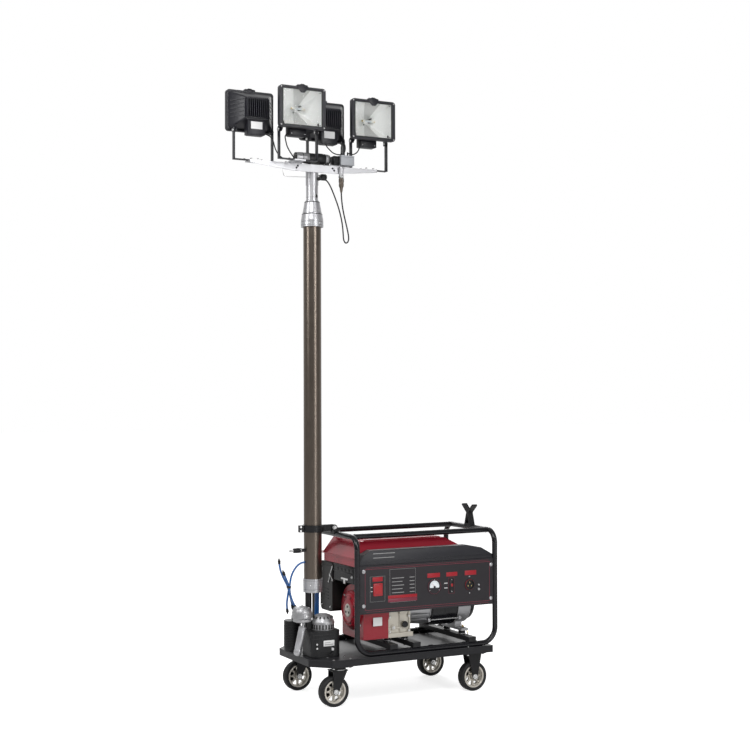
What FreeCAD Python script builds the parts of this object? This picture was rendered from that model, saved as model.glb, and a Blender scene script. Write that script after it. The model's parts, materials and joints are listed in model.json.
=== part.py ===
import FreeCAD, Part
import math
import os

import Sketcher
from FreeCAD import Placement, Rotation, Vector

# Mobile light tower: a wheeled deck with a generator set in a tube frame, a compressor,
# and a folding telescopic mast with four floodlights on a panning head.
# Millimetres. X runs along the deck, -Y is the control panel's side, Z is up.
# The origin is on the floor, in the middle of the whole machine's box.

doc = FreeCAD.newDocument("LightTower")
sheet = doc.addObject("Spreadsheet::Sheet", "Sizes")

# Driving sizes: alias, millimetres or degrees, meaning
SIZES = (
    # Wheels and forks
    ("wheel_diameter", 150, "caster tyre, outside"),
    ("tyre_width", 48, "caster tyre"),
    ("tyre_inner", 116, "diameter of the wheel centre's rim"),
    ("tyre_round", 12, "rounding of the tyre's shoulders"),
    ("hub_diameter", 40, "wheel centre's hub"),
    ("hub_width", 52, "wheel centre's hub, along the axle"),
    ("rim_width", 40, "wheel centre's rim"),
    ("rim_wall", 9, "wheel centre's rim"),
    ("web_thickness", 14, "wheel centre's web"),
    ("web_hole", 17, "one of the holes round the web"),
    ("web_hole_count", 8, "holes round the web"),
    ("axle_diameter", 12, "wheel axle bolt"),
    ("running_gap", 0.1, "radial play of a pin in its hole"),
    ("fork_gap", 1.5, "between the hub and a fork leg"),
    ("weld_gap", 0.2, "between a tube and the shaped end welded to it"),
    ("fork_thickness", 4, "fork plate"),
    ("fork_leg_top", 76, "fork leg's width at the top"),
    ("fork_leg_low", 30, "fork leg's width at the axle"),
    ("fork_length", 84, "fork's top plate along the deck"),
    ("caster_trail", 30, "swivel axis to axle"),
    ("swivel_diameter", 66, "swivel bearing"),
    ("swivel_height", 14, "swivel bearing"),
    ("caster_plate_length", 110, "caster's bolted plate"),
    ("caster_plate_width", 90, "caster's bolted plate"),
    ("caster_plate_thickness", 4, "caster's bolted plate"),
    ("rigid_axle_x", 562, "axle of the two fixed wheels"),
    ("swivel_axis_x", -197, "swivel axis of the two steering wheels"),
    ("wheel_y", 216, "middle of a wheel from the middle of the deck"),
    # Deck
    ("deck_left", -343, "left edge"),
    ("deck_length", 1000, "along X"),
    ("deck_width", 532, "along Y"),
    ("deck_under", 196, "underside above the floor"),
    ("deck_frame_height", 31, "box section round the deck"),
    ("deck_frame_wall", 40, "box section's width"),
    ("deck_plate_thickness", 4, "top sheet"),
    ("deck_corner", 88, "cut corner at the mast end"),
    ("deck_cross_one", -110, "first cross member's middle"),
    ("deck_cross_two", 180, "second cross member's middle"),
    ("deck_cross_three", 470, "third cross member's middle"),
    # Tube frame round the generator
    ("tube_diameter", 27, "frame tube"),
    ("hoop_left", -112.5, "left uprights' axis"),
    ("hoop_y", 248, "uprights from the middle of the deck"),
    ("hoop_bend", 78, "lower bends' radius"),
    ("arch_bend", 62, "upper bends' radius"),
    ("crossbar_width", 42, "engine crossbars"),
    ("crossbar_height", 24, "engine crossbars"),
    ("crossbar_one", 84, "first engine crossbar"),
    ("crossbar_two", 214, "second engine crossbar"),
    ("crossbar_three", 538, "alternator crossbar"),
    ("bush_diameter", 36, "rubber mount"),
    ("bush_height", 21, "rubber mount"),
    ("bush_spread", 76, "rubber mount from the shaft's plane"),
    # Engine and alternator
    ("shaft_y", -79, "crankshaft from the middle of the deck"),
    ("shaft_height", 438, "crankshaft"),
    ("engine_left", 86, "crankcase's left face"),
    ("engine_length", 132, "crankcase along the shaft"),
    ("engine_front", 106, "crankcase in front of the shaft"),
    ("engine_back", 118, "crankcase behind the shaft"),
    ("engine_over", 62, "crankcase above the shaft"),
    ("cylinder_length", 130, "cylinder behind the crankcase"),
    ("cylinder_low", 60, "cylinder's underside below the shaft"),
    ("cylinder_height", 128, "cylinder"),
    ("sump_height", 22, "foot flange of the crankcase"),
    ("sump_lip", 10, "foot flange past the crankcase"),
    ("fan_length", 140, "fan housing along the shaft"),
    ("fan_radius", 128, "fan housing"),
    ("fan_foot", 118, "half width of the fan housing's foot"),
    ("recoil_radius", 98, "recoil starter cover"),
    ("recoil_depth", 30, "recoil starter cover"),
    ("recoil_rim", 8, "chamfer round the recoil cover"),
    ("recoil_hub", 34, "hub of the recoil cover"),
    ("adapter_length", 128, "ribbed casting behind the engine"),
    ("adapter_radius", 100, "ribbed casting"),
    ("barrel_length", 154, "alternator's dark barrel"),
    ("barrel_radius", 108, "alternator's dark barrel"),
    ("end_casting_length", 76, "alternator's end casting"),
    ("end_casting_radius", 104, "alternator's end casting"),
    ("end_cover_length", 36, "alternator's end cover"),
    ("end_cover_radius", 92, "alternator's end cover"),
    ("end_foot_width", 210, "alternator's foot"),
    ("end_foot_length", 40, "alternator's foot"),
    ("muffler_left", 70, "muffler's left face"),
    ("muffler_length", 210, "muffler"),
    ("muffler_depth", 104, "muffler"),
    ("muffler_height", 118, "muffler"),
    ("muffler_low", 524, "muffler's underside"),
    ("muffler_back", 212, "muffler's outer face"),
    ("shield_left", -96, "left end of the black shield that goes down in front of the muffler"),
    ("shield_front", 70, "shield's front face"),
    ("shield_low", 410, "shield's lower edge"),
    ("cleaner_left", -96, "air cleaner's left face"),
    ("cleaner_length", 172, "air cleaner"),
    ("cleaner_depth", 250, "air cleaner"),
    ("cleaner_height", 74, "air cleaner"),
    ("cleaner_front", -188, "air cleaner's front face"),
    # Fuel tank and control panel
    ("tank_low", 664, "tank's underside"),
    ("tank_lower", 40, "tank's straight lower half"),
    ("tank_upper", 82, "tank's leaning upper half"),
    ("tank_headroom", 30, "tank's top to the top tubes' axis"),
    ("tank_left", -90, "tank's left end"),
    ("tank_length", 676, "tank along X"),
    ("tank_end_room", 95.5, "tank's right end to the right uprights' axis"),
    ("tank_depth", 396, "tank along Y"),
    ("tank_front", -198, "tank's front face"),
    ("tank_draft", 42, "lean of the tank's upper sides"),
    ("tank_slope", 150, "slope at the tank's right end"),
    ("tank_rib_height", 6, "pressed ribs on the tank"),
    ("tank_rib_width", 34, "pressed ribs on the tank"),
    ("tank_lip", 12, "seam flange past the tank"),
    ("tank_lip_thickness", 4, "seam flange"),
    ("ear_width", 26, "ear of the seam flange at the uprights"),
    ("cap_radius", 38, "filler cap"),
    ("cap_height", 12, "filler cap"),
    ("cap_x", 120, "filler cap"),
    ("panel_low", 440, "control panel's lower edge"),
    ("panel_height", 236, "control panel's flat face"),
    ("panel_depth", 44, "control panel box"),
    ("panel_front", -252, "control panel's face"),
    ("brow_height", 74, "dark brow above the panel"),
    ("brow_shoulder", 150, "rounded end of the brow"),
    ("panel_wall", 3, "control panel sheet"),
    ("control_proud", 7, "controls standing out of the panel"),
    ("switch_x", 74, "switch from the panel's left edge"),
    ("switch_width", 48, "switch"),
    ("switch_low", 90, "switch from the panel's lower edge"),
    ("switch_height", 54, "switch"),
    ("meter_x", 418, "meter's middle from the panel's left edge"),
    ("meter_rise", 112, "meter's middle from the panel's lower edge"),
    ("meter_radius", 38, "meter"),
    ("breaker_x", 506, "breaker from the panel's left edge"),
    ("breaker_width", 26, "breaker"),
    ("breaker_low", 74, "breaker from the panel's lower edge"),
    ("breaker_height", 72, "breaker"),
    ("outlet_x", 626, "outlet's middle from the panel's left edge"),
    ("outlet_rise", 108, "outlet's middle from the panel's lower edge"),
    ("stud_x", 681, "earth studs from the panel's left edge"),
    ("stud_low", 82, "lower stud from the panel's lower edge"),
    ("stud_pitch", 22, "from stud to stud"),
    ("outlet_radius", 27, "power outlet"),
    ("stud_radius", 6, "earth studs"),
    # Compressor
    ("pump_x", -240, "compressor body"),
    ("pump_y", -102, "compressor body"),
    ("pump_width", 152, "compressor body"),
    ("pump_round", 34, "compressor body's corners"),
    ("pump_height", 130, "compressor body"),
    ("pump_cap_radius", 58, "ribbed cap on the compressor"),
    ("pump_cap_height", 76, "ribbed cap on the compressor"),
    ("drum_x", -309, "rear drum of the compressor"),
    ("drum_y", 92, "rear drum of the compressor"),
    ("drum_radius", 42, "rear drum of the compressor"),
    ("drum_height", 152, "rear drum of the compressor"),
    ("head_left", -379, "compressor head"),
    ("head_length", 96, "compressor head"),
    ("head_front", -122, "compressor head"),
    ("head_depth", 92, "compressor head"),
    ("head_low", 398, "compressor head"),
    ("head_height", 74, "compressor head"),
    ("canister_radius", 19, "silver dryer canister"),
    ("canister_length", 136, "silver dryer canister"),
    ("canister_lean", 13, "lean of the canister"),
    ("canister_x", -367, "canister's lower end"),
    ("canister_y", -98, "canister's lower end"),
    ("canister_foot", 16, "canister's lower end above the deck"),
    # Mast
    ("mast_x", -237, "mast axis"),
    ("mast_low", 532, "mast's lower end"),
    ("mast_diameter", 90, "outer section"),
    ("mast_wall", 3, "outer section"),
    ("mast_length", 1837, "outer section"),
    ("base_collar_height", 67, "collar round the mast's lower end"),
    ("base_collar_diameter", 97, "collar round the mast's lower end"),
    ("section_two_diameter", 76, "middle section"),
    ("section_three_diameter", 60, "inner section"),
    ("section_wall", 3, "inner sections"),
    ("section_step", 28, "how far each inner section stops above the one outside it"),
    ("slide_gap", 0.2, "radial play of a section in its collar"),
    ("collar_one_height", 60, "collar at the top of the outer section"),
    ("collar_one_diameter", 113, "collar at the top of the outer section"),
    ("collar_top_diameter", 103, "upper edge of that collar"),
    ("collar_two_height", 62, "collar at the top of the middle section"),
    ("collar_two_diameter", 97, "collar at the top of the middle section"),
    ("collar_two_top", 78, "upper edge of that collar"),
    ("neck_length", 84, "inner section above its collar"),
    ("neck_ring_height", 5, "stop ring of the inner section"),
    ("neck_ring_diameter", 68, "stop ring of the inner section"),
    ("spigot_diameter", 40, "pin the head turns on"),
    ("spigot_length", 60, "pin the head turns on"),
    ("socket_diameter", 64, "head's socket"),
    ("socket_height", 94, "head's socket"),
    ("knob_diameter", 33, "head's locking knob"),
    ("knob_length", 42, "head's locking knob"),
    ("pivot_x", -125, "mast's fold axis"),
    ("pivot_rise", 33, "mast's fold axis above the top tubes' axis"),
    ("pivot_pin", 16, "mast's fold pin"),
    ("tongue_width", 24, "clamp's tongue"),
    ("tongue_round", 16, "round end of the tongue and the cheeks"),
    ("cheek_thickness", 8, "bracket's cheeks"),
    ("cheek_gap", 0.5, "between tongue and cheek"),
    ("clamp_height", 34, "clamp ring"),
    ("clamp_wall", 9, "clamp ring"),
    ("clamp_ear", 22, "clamp's ears"),
    ("rest_angle", 50, "half angle of the fork that takes the folded mast"),
    ("rest_gap", 5, "folded mast to its fork"),
    ("rest_reach", 50, "fork's half width"),
    ("rest_bar", 9, "fork's bar"),
    ("rest_width", 30, "fork along the mast"),
    ("post_x", -262, "stop post under the mast"),
    ("post_diameter", 32, "stop post"),
    ("post_foot", 46, "stop post's foot"),
    ("post_gap", 0.5, "stop post to the mast's lower end"),
    ("air_plug_height", 742, "air plug on the mast"),
    ("air_plug_length", 84, "air plug on the mast"),
    ("air_plug_diameter", 24, "air plug on the mast"),
    # Head and lamps
    ("bar_half", 350, "light bar, mast axis to tip"),
    ("bar_width", 64, "light bar across"),
    ("bar_thickness", 5, "light bar's plate"),
    ("bar_flange", 38, "light bar's front flange in the middle"),
    ("bar_flange_flat", 120, "half length of the flange's deep part"),
    ("bar_flange_tip", 9, "light bar's front flange at the tips"),
    ("lamp_outer", 320, "outer lamps from the mast axis"),
    ("lamp_inner", 116, "inner lamps from the mast axis"),
    ("lamp_offset", 86, "inner lamps in front of and behind the bar"),
    ("carrier_width", 60, "plates that carry the inner lamps"),
    ("carrier_thickness", 6, "plates that carry the inner lamps"),
    ("bracket_span", 200, "lamp bracket, inside"),
    ("bracket_height", 145, "lamp bracket, base to lamp pivot"),
    ("bracket_strip", 4, "lamp bracket's strip"),
    ("bracket_width", 30, "lamp bracket's strip"),
    ("bracket_pin", 10, "lamp pivot bolt"),
    ("lamp_width", 250, "lamp's front frame"),
    ("lamp_height", 205, "lamp's front frame"),
    ("lamp_lift", 3, "lamp's front frame above its pivot"),
    ("lamp_frame_depth", 26, "lamp's front frame"),
    ("lamp_front", 62, "lamp's face in front of its pivot"),
    ("lamp_round", 16, "corners of the front frame"),
    ("lamp_window", 214, "lamp's window, width"),
    ("lamp_window_height", 180, "lamp's window, height"),
    ("lamp_wall", 5, "lamp's casting"),
    ("lamp_body_depth", 86, "tapered body behind the frame"),
    ("lamp_back_width", 130, "tapered body's back"),
    ("lamp_back_height", 112, "tapered body's back"),
    ("fin_depth", 22, "cooling fins behind the body"),
    ("fin_thickness", 4, "one cooling fin"),
    ("fin_pitch", 11, "from fin to fin"),
    ("fin_count", 11, "cooling fins"),
    ("glass_thickness", 4, "lamp glass"),
    ("glass_gap", 0.5, "lamp glass in its frame"),
    ("junction_width", 92, "junction box under the lamp"),
    ("junction_depth", 50, "junction box under the lamp"),
    ("junction_drop", 24, "junction box below the pivot"),
    ("ear_gap", 4, "lamp's ear to its bracket"),
    ("ear_thickness", 5, "lamp's ear"),
    ("clip_width", 56, "clip on the lamp's top"),
    ("clip_height", 13, "clip on the lamp's top"),
    ("motor_length", 190, "pan motor"),
    ("motor_radius", 27, "pan motor"),
    ("motor_y", -6, "pan motor"),
    ("box_left", 132, "control box from the mast axis"),
    ("box_length", 76, "control box"),
    ("box_front", -64, "control box's front face"),
    ("box_depth", 60, "control box"),
    ("box_height", 56, "control box"),
    ("plug_x", 140, "cable plug from the mast axis"),
    ("plug_y", -49, "cable plug"),
    ("plug_radius", 14, "cable plug's flange"),
    ("plug_length", 134, "cable plug"),
    # Cords
    ("head_cable", 7, "cable at the head"),
    ("lamp_lead", 6, "lead from the bar to a lamp"),
    ("gland_length", 20, "gland on the socket"),
    ("hose_bundle", 28, "hoses from the mast to the compressor"),
    ("hose_hank", 10, "spare hose tied beside the mast"),
)

for row, (alias, number, meaning) in enumerate(SIZES, start=1):
    sheet.set("A%d" % row, meaning)
    sheet.set("B%d" % row, str(number))
    sheet.setAlias("B%d" % row, alias)
doc.recompute()


class Size:
    """A length that knows its value and the spreadsheet expression that gives it."""

    def __init__(self, value, text):
        self.value = value
        self.text = text

    def __float__(self):
        return float(self.value)

    def __add__(self, other):
        other = as_size(other)
        return Size(self.value + other.value, "(%s + %s)" % (self.text, other.text))

    def __sub__(self, other):
        other = as_size(other)
        return Size(self.value - other.value, "(%s - %s)" % (self.text, other.text))

    def __mul__(self, other):
        other = as_size(other)
        return Size(self.value * other.value, "(%s * %s)" % (self.text, other.text))

    def __truediv__(self, other):
        other = as_size(other)
        return Size(self.value / other.value, "(%s / %s)" % (self.text, other.text))

    def __neg__(self):
        return Size(-self.value, "(0 - %s)" % self.text)

    def __radd__(self, other):
        return as_size(other) + self

    def __rsub__(self, other):
        return as_size(other) - self

    def __rmul__(self, other):
        return as_size(other) * self


def as_size(number):
    """A plain number as a Size."""
    if isinstance(number, Size):
        return number
    return Size(float(number), "(%.6f)" % number)


class Sheet:
    """The spreadsheet's sizes by name."""

    def __getattr__(self, alias):
        return Size(float(sheet.get(alias)), "Sizes." + alias)


s = Sheet()
PIECES = []
GLAND_TURN = -52  # degrees round the socket, from +X
TURN = {"X": Rotation(Vector(0, 1, 0), 90), "Y": Rotation(Vector(1, 0, 0), -90), "Z": Rotation()}
DIRECTION = {"X": Vector(1, 0, 0), "Y": Vector(0, 1, 0), "Z": Vector(0, 0, 1)}


def piece(label, thing):
    """Name a finished sub-part: its label is its file's name."""
    thing.Label = label
    PIECES.append(thing)
    return thing


def place(thing, x, y, z):
    """Bind where a thing stands."""
    for letter, number in (("x", x), ("y", y), ("z", z)):
        thing.setExpression("Placement.Base." + letter, as_size(number).text)


def box(x0, x1, y0, y1, z0, z1):
    """A box between six planes."""
    thing = doc.addObject("Part::Box", "Box")
    thing.setExpression("Length", (as_size(x1) - x0).text)
    thing.setExpression("Width", (as_size(y1) - y0).text)
    thing.setExpression("Height", (as_size(z1) - z0).text)
    place(thing, x0, y0, z0)
    return thing


def along(axis, start, across, upward):
    """A point: start along the axis, across and upward in the two other directions in order."""
    if axis == "X":
        return start, across, upward
    if axis == "Y":
        return across, start, upward
    return across, upward, start


def rod(axis, start, end, across, upward, radius):
    """A cylinder from start to end along an axis."""
    thing = doc.addObject("Part::Cylinder", "Rod")
    thing.Placement = Placement(Vector(), TURN[axis])
    thing.setExpression("Radius", as_size(radius).text)
    thing.setExpression("Height", (as_size(end) - start).text)
    place(thing, *along(axis, start, across, upward))
    return thing


def cone(axis, start, end, across, upward, first, last):
    """A cone from start to end along an axis."""
    thing = doc.addObject("Part::Cone", "Cone")
    thing.Placement = Placement(Vector(), TURN[axis])
    thing.setExpression("Radius1", as_size(first).text)
    thing.setExpression("Radius2", as_size(last).text)
    thing.setExpression("Height", (as_size(end) - start).text)
    place(thing, *along(axis, start, across, upward))
    return thing


def fuse(*things):
    """One solid from several that meet."""
    joined = doc.addObject("Part::MultiFuse", "Fuse")
    joined.Shapes = list(things)
    joined.Refine = True
    return joined


def cut(base, *tools):
    """A base less its tools."""
    result = doc.addObject("Part::Cut", "Cut")
    result.Base = base
    result.Tool = tools[0] if len(tools) == 1 else fuse(*tools)
    return result


def group(*things):
    """Several solids that don't touch, in one node."""
    gathered = doc.addObject("Part::Compound", "Group")
    gathered.Links = list(things)
    return gathered


def rounded(thing, axis, radius, keep=lambda middle: True):
    """Fillet the straight edges along an axis whose middles pass the test."""
    doc.recompute()
    result = doc.addObject("Part::Fillet", "Rounded")
    result.Base = thing
    chosen = []
    for number, edge in enumerate(thing.Shape.Edges, start=1):
        if not isinstance(edge.Curve, Part.Line):
            continue
        middle = edge.valueAt((edge.FirstParameter + edge.LastParameter) / 2)
        if abs(abs(edge.tangentAt(edge.FirstParameter).dot(DIRECTION[axis])) - 1) < 1e-6 and keep(middle):
            chosen.append((number, float(radius), float(radius)))
    result.Edges = chosen
    return result


def prism(axis, outline, start, end):
    """A PartDesign body: an outline of straight sides, padded along an axis from start to end.

    The outline's points are (x, y) for Z, (x, z) for Y and (y, z) for X.
    """
    plane_role = {"Z": "XY_Plane", "Y": "XZ_Plane", "X": "YZ_Plane"}[axis]
    body = doc.addObject("PartDesign::Body", "Prism")
    sketch = body.newObject("Sketcher::SketchObject", body.Name + "Outline")
    for plane in body.Origin.OriginFeatures:
        if getattr(plane, "Role", "") == plane_role:
            sketch.AttachmentSupport = [(plane, "")]
    sketch.MapMode = "FlatFace"
    points = [(as_size(a), as_size(b)) for a, b in outline]
    count = len(points)
    for index in range(count):
        first, second = points[index], points[(index + 1) % count]
        sketch.addGeometry(Part.LineSegment(
            Vector(float(first[0]), float(first[1]), 0), Vector(float(second[0]), float(second[1]), 0)))
    for index in range(count):
        sketch.addConstraint(Sketcher.Constraint("Coincident", index, 2, (index + 1) % count, 1))
    for index, point in enumerate(points):
        for kind, number in zip(("DistanceX", "DistanceY"), point):
            held = sketch.addConstraint(Sketcher.Constraint(kind, index, 1, float(number)))
            sketch.setExpression("Constraints[%d]" % held, number.text)
    low = -as_size(end) if axis == "Y" else as_size(start)
    sketch.setExpression("AttachmentOffset.Base.z", low.text)
    pad = body.newObject("PartDesign::Pad", body.Name + "Pad")
    pad.Profile = sketch
    pad.setExpression("Length", (as_size(end) - start).text)
    return body


def solid(shape):
    """A shape made by a formula, as an object of the document."""
    thing = doc.addObject("Part::Feature", "Formed")
    thing.Shape = shape
    return thing


def bent_path(points, radius_at):
    """Straight runs joined by tangent arcs, one arc at each inner point."""
    edges = []
    here = points[0]
    for index in range(1, len(points) - 1):
        corner = points[index]
        back = (points[index - 1] - corner).normalize()
        ahead = (points[index + 1] - corner).normalize()
        turn = math.pi - back.getAngle(ahead)
        radius = radius_at(index, turn)
        reach = radius * math.tan(turn / 2)
        start = corner + back * reach
        stop = corner + ahead * reach
        inward = (back + ahead).normalize()
        middle = corner + inward * (radius / math.cos(turn / 2) - radius)
        if (start - here).Length > 1e-6:
            edges.append(Part.LineSegment(here, start).toShape())
        edges.append(Part.Arc(start, middle, stop).toShape())
        here = stop
    edges.append(Part.LineSegment(here, points[-1]).toShape())
    return Part.Wire(edges)


def tube_along(path, radius):
    """A solid round bar along a path of lines and arcs."""
    first = path.OrderedEdges[0]
    start = first.valueAt(first.FirstParameter)
    ring = Part.Wire([Part.Circle(start, first.tangentAt(first.FirstParameter), radius).toShape()])
    return path.makePipeShell([ring], True, False)


def cord_tube(label, points, diameter):
    """A cord's plain tube, with arcs as large as its runs allow."""
    radii = []

    def largest(index, turn):
        shorter = min((points[index] - points[index - 1]).Length, (points[index + 1] - points[index]).Length)
        radii.append(0.45 * shorter / math.tan(turn / 2))
        return radii[-1]

    path = bent_path(points, largest)
    shape = tube_along(path, diameter / 2)
    expected = path.Length * math.pi * diameter * diameter / 4
    print("%s: length %.0f mm, radii %s, volume ratio %.4f" % (
        label, path.Length, " ".join("%.0f" % radius for radius in radii), shape.Volume / expected))
    return solid(shape)


# Heights and places that several sub-parts share
wheel_radius = s.wheel_diameter / 2
deck_right = s.deck_left + s.deck_length
deck_half = s.deck_width / 2
deck_plate_low = s.deck_under + s.deck_frame_height
deck_top = deck_plate_low + s.deck_plate_thickness
tube_radius = s.tube_diameter / 2
rail_height = deck_top + tube_radius
hoop_right = s.tank_left + s.tank_length + s.tank_end_room
tank_seam = s.tank_low + s.tank_lower
tank_top = tank_seam + s.tank_upper
frame_top = tank_top + s.tank_headroom
pivot_height = frame_top + s.pivot_rise
crossbar_low = rail_height + tube_radius
crossbar_top = crossbar_low + s.crossbar_height
engine_foot = crossbar_top + s.bush_height
engine_right = s.engine_left + s.engine_length
mast_top = s.mast_low + s.mast_length
mast_radius = s.mast_diameter / 2
collar_one_top = mast_top + s.collar_one_height
collar_two_end = collar_one_top + s.collar_two_height
neck_end = collar_two_end + s.neck_length
bar_low = neck_end + s.socket_height
bar_top = bar_low + s.bar_thickness


def make_deck():
    """A welded frame with a top sheet and two cut corners."""
    def outline(inset):
        corner = s.deck_corner
        left, right = s.deck_left + inset, deck_right - inset
        front, back = -deck_half + inset, deck_half - inset
        return ((left + corner, front), (right, front), (right, back), (left + corner, back),
                (left, back - corner), (left, front + corner))

    ring = cut(prism("Z", outline(as_size(0)), s.deck_under, deck_plate_low),
               prism("Z", outline(s.deck_frame_wall), s.deck_under - 1, deck_plate_low + 1))
    reach = deck_half - s.deck_frame_wall / 2
    half_wall = s.deck_frame_wall / 2
    members = [box(middle - half_wall, middle + half_wall, -reach, reach, s.deck_under, deck_plate_low)
               for middle in (s.deck_cross_one, s.deck_cross_two, s.deck_cross_three)]
    piece("deck_frame", fuse(ring, *members))
    piece("deck_plate", prism("Z", outline(as_size(0)), deck_plate_low, deck_top))


def make_wheel(name, axle_x, middle_y):
    """A caster wheel: round-shouldered tyre on a drilled centre."""
    half = s.tyre_width / 2
    tyre = rod("Y", middle_y - half, middle_y + half, axle_x, wheel_radius, wheel_radius)
    doc.recompute()
    shoulders = doc.addObject("Part::Fillet", "Shoulders")
    shoulders.Base = tyre
    shoulders.Edges = [(number, float(s.tyre_round), float(s.tyre_round))
                       for number, edge in enumerate(tyre.Shape.Edges, start=1)
                       if isinstance(edge.Curve, Part.Circle)]
    bore = rod("Y", middle_y - half - 1, middle_y + half + 1, axle_x, wheel_radius, s.tyre_inner / 2)
    piece("tyre_" + name, cut(shoulders, bore))

    rim_half, web_half, hub_half = s.rim_width / 2, s.web_thickness / 2, s.hub_width / 2
    rim = cut(rod("Y", middle_y - rim_half, middle_y + rim_half, axle_x, wheel_radius, s.tyre_inner / 2),
              rod("Y", middle_y - rim_half - 1, middle_y + rim_half + 1, axle_x, wheel_radius,
                  s.tyre_inner / 2 - s.rim_wall))
    web = rod("Y", middle_y - web_half, middle_y + web_half, axle_x, wheel_radius, s.tyre_inner / 2 - 1)
    hub = rod("Y", middle_y - hub_half, middle_y + hub_half, axle_x, wheel_radius, s.hub_diameter / 2)
    holes = []
    ring_radius = (s.tyre_inner / 2 - s.rim_wall + s.hub_diameter / 2) / 2
    for turn in range(int(float(s.web_hole_count))):
        angle = 2 * math.pi * (turn + 0.5) / float(s.web_hole_count)
        holes.append(rod("Y", middle_y - web_half - 1, middle_y + web_half + 1,
                         axle_x + ring_radius * math.cos(angle),
                         wheel_radius + ring_radius * math.sin(angle), s.web_hole / 2))
    bore = rod("Y", middle_y - hub_half - 1, middle_y + hub_half + 1, axle_x, wheel_radius,
               s.axle_diameter / 2 + s.running_gap)
    piece("wheel_centre_" + name, cut(fuse(rim, web, hub), bore, *holes))


def fork(axle_x, middle_x, middle_y, top):
    """Two legs, a top plate and the axle bolt."""
    inner = s.hub_width / 2 + s.fork_gap
    outer = inner + s.fork_thickness
    half_top, half_low = s.fork_leg_top / 2, s.fork_leg_low / 2
    legs = []
    for low, high in ((middle_y - outer, middle_y - inner), (middle_y + inner, middle_y + outer)):
        leg = prism("Y", ((middle_x - half_top, top), (middle_x + half_top, top),
                          (axle_x + half_low, wheel_radius), (axle_x - half_low, wheel_radius)), low, high)
        legs += [leg, rod("Y", low, high, axle_x, wheel_radius, half_low)]
    half_plate = s.fork_length / 2
    plate = box(middle_x - half_plate, middle_x + half_plate, middle_y - outer, middle_y + outer,
                top - s.fork_thickness, top)
    axle = rod("Y", middle_y - outer - 6, middle_y + outer + 6, axle_x, wheel_radius, s.axle_diameter / 2)
    return [plate, axle] + legs


def make_casters():
    """Two steering casters at the mast end and two fixed ones at the other."""
    plate_low = s.deck_under - s.caster_plate_thickness
    fork_top = plate_low - s.swivel_height
    half_x, half_y = s.caster_plate_length / 2, s.caster_plate_width / 2
    plates, fixed = [], []
    for name, side in (("front", -1), ("back", 1)):
        y = s.wheel_y * side
        plate = box(s.swivel_axis_x - half_x, s.swivel_axis_x + half_x, y - half_y, y + half_y,
                    plate_low, s.deck_under)
        bearing = rod("Z", fork_top, plate_low, s.swivel_axis_x, y, s.swivel_diameter / 2)
        plates.append(fuse(plate, bearing))
        steering_axle = s.swivel_axis_x - s.caster_trail
        piece("swivel_fork_" + name, fuse(*fork(steering_axle, s.swivel_axis_x - 6, y, fork_top)))
        make_wheel("left_" + name, steering_axle, y)
        plate = box(s.rigid_axle_x - half_x, s.rigid_axle_x + half_x, y - half_y, y + half_y,
                    plate_low, s.deck_under)
        fixed.append(fuse(plate, *fork(s.rigid_axle_x, s.rigid_axle_x, y, plate_low)))
        make_wheel("right_" + name, s.rigid_axle_x, y)
    piece("caster_plates", group(*plates))
    piece("rigid_forks", group(*fixed))


def make_tube_frame():
    """Two hoops, two end arches and two top rails of one tube."""
    left, right = float(s.hoop_left), float(hoop_right)
    low, top = float(rail_height), float(frame_top)
    joint = top - float(s.arch_bend)
    y = float(s.hoop_y)
    hoops = []
    for side in (-y, y):
        path = bent_path([Vector(left, side, joint), Vector(left, side, low),
                          Vector(right, side, low), Vector(right, side, joint)],
                         lambda index, turn: float(s.hoop_bend))
        hoops.append(solid(tube_along(path, float(tube_radius))))
    piece("frame_hoops", group(*hoops))
    arches = []
    for x in (left, right):
        path = bent_path([Vector(x, -y, joint), Vector(x, -y, top), Vector(x, y, top), Vector(x, y, joint)],
                         lambda index, turn: float(s.arch_bend) - 0.01)
        arches.append(solid(tube_along(path, float(tube_radius))))
    piece("frame_arches", group(*arches))
    rail_y = s.hoop_y - s.arch_bend
    rails = []
    for side in (-1, 1):
        rail = rod("X", s.hoop_left, hoop_right, rail_y * side, frame_top, tube_radius)
        ends = [rod("Y", -s.hoop_y, s.hoop_y, x, frame_top, tube_radius + s.weld_gap)
                for x in (s.hoop_left, hoop_right)]
        rails.append(cut(rail, *ends))
    piece("top_rails", group(*rails))


def make_engine_mounts():
    """Crossbars on the lower rails with rubber mounts."""
    bars = []
    for middle in (s.crossbar_one, s.crossbar_two, s.crossbar_three):
        half = s.crossbar_width / 2
        reach = s.hoop_y + tube_radius
        bars.append(box(middle - half, middle + half, -reach, reach, crossbar_low, crossbar_top))
    bushes = []
    for middle in (s.crossbar_one + 18, s.crossbar_two - 14, s.crossbar_three):
        for side in (-1, 1):
            bushes.append(rod("Z", crossbar_top, engine_foot, middle, s.shaft_y + s.bush_spread * side,
                              s.bush_diameter / 2))
    piece("engine_crossbars", fuse(*bars, *bushes))


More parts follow.
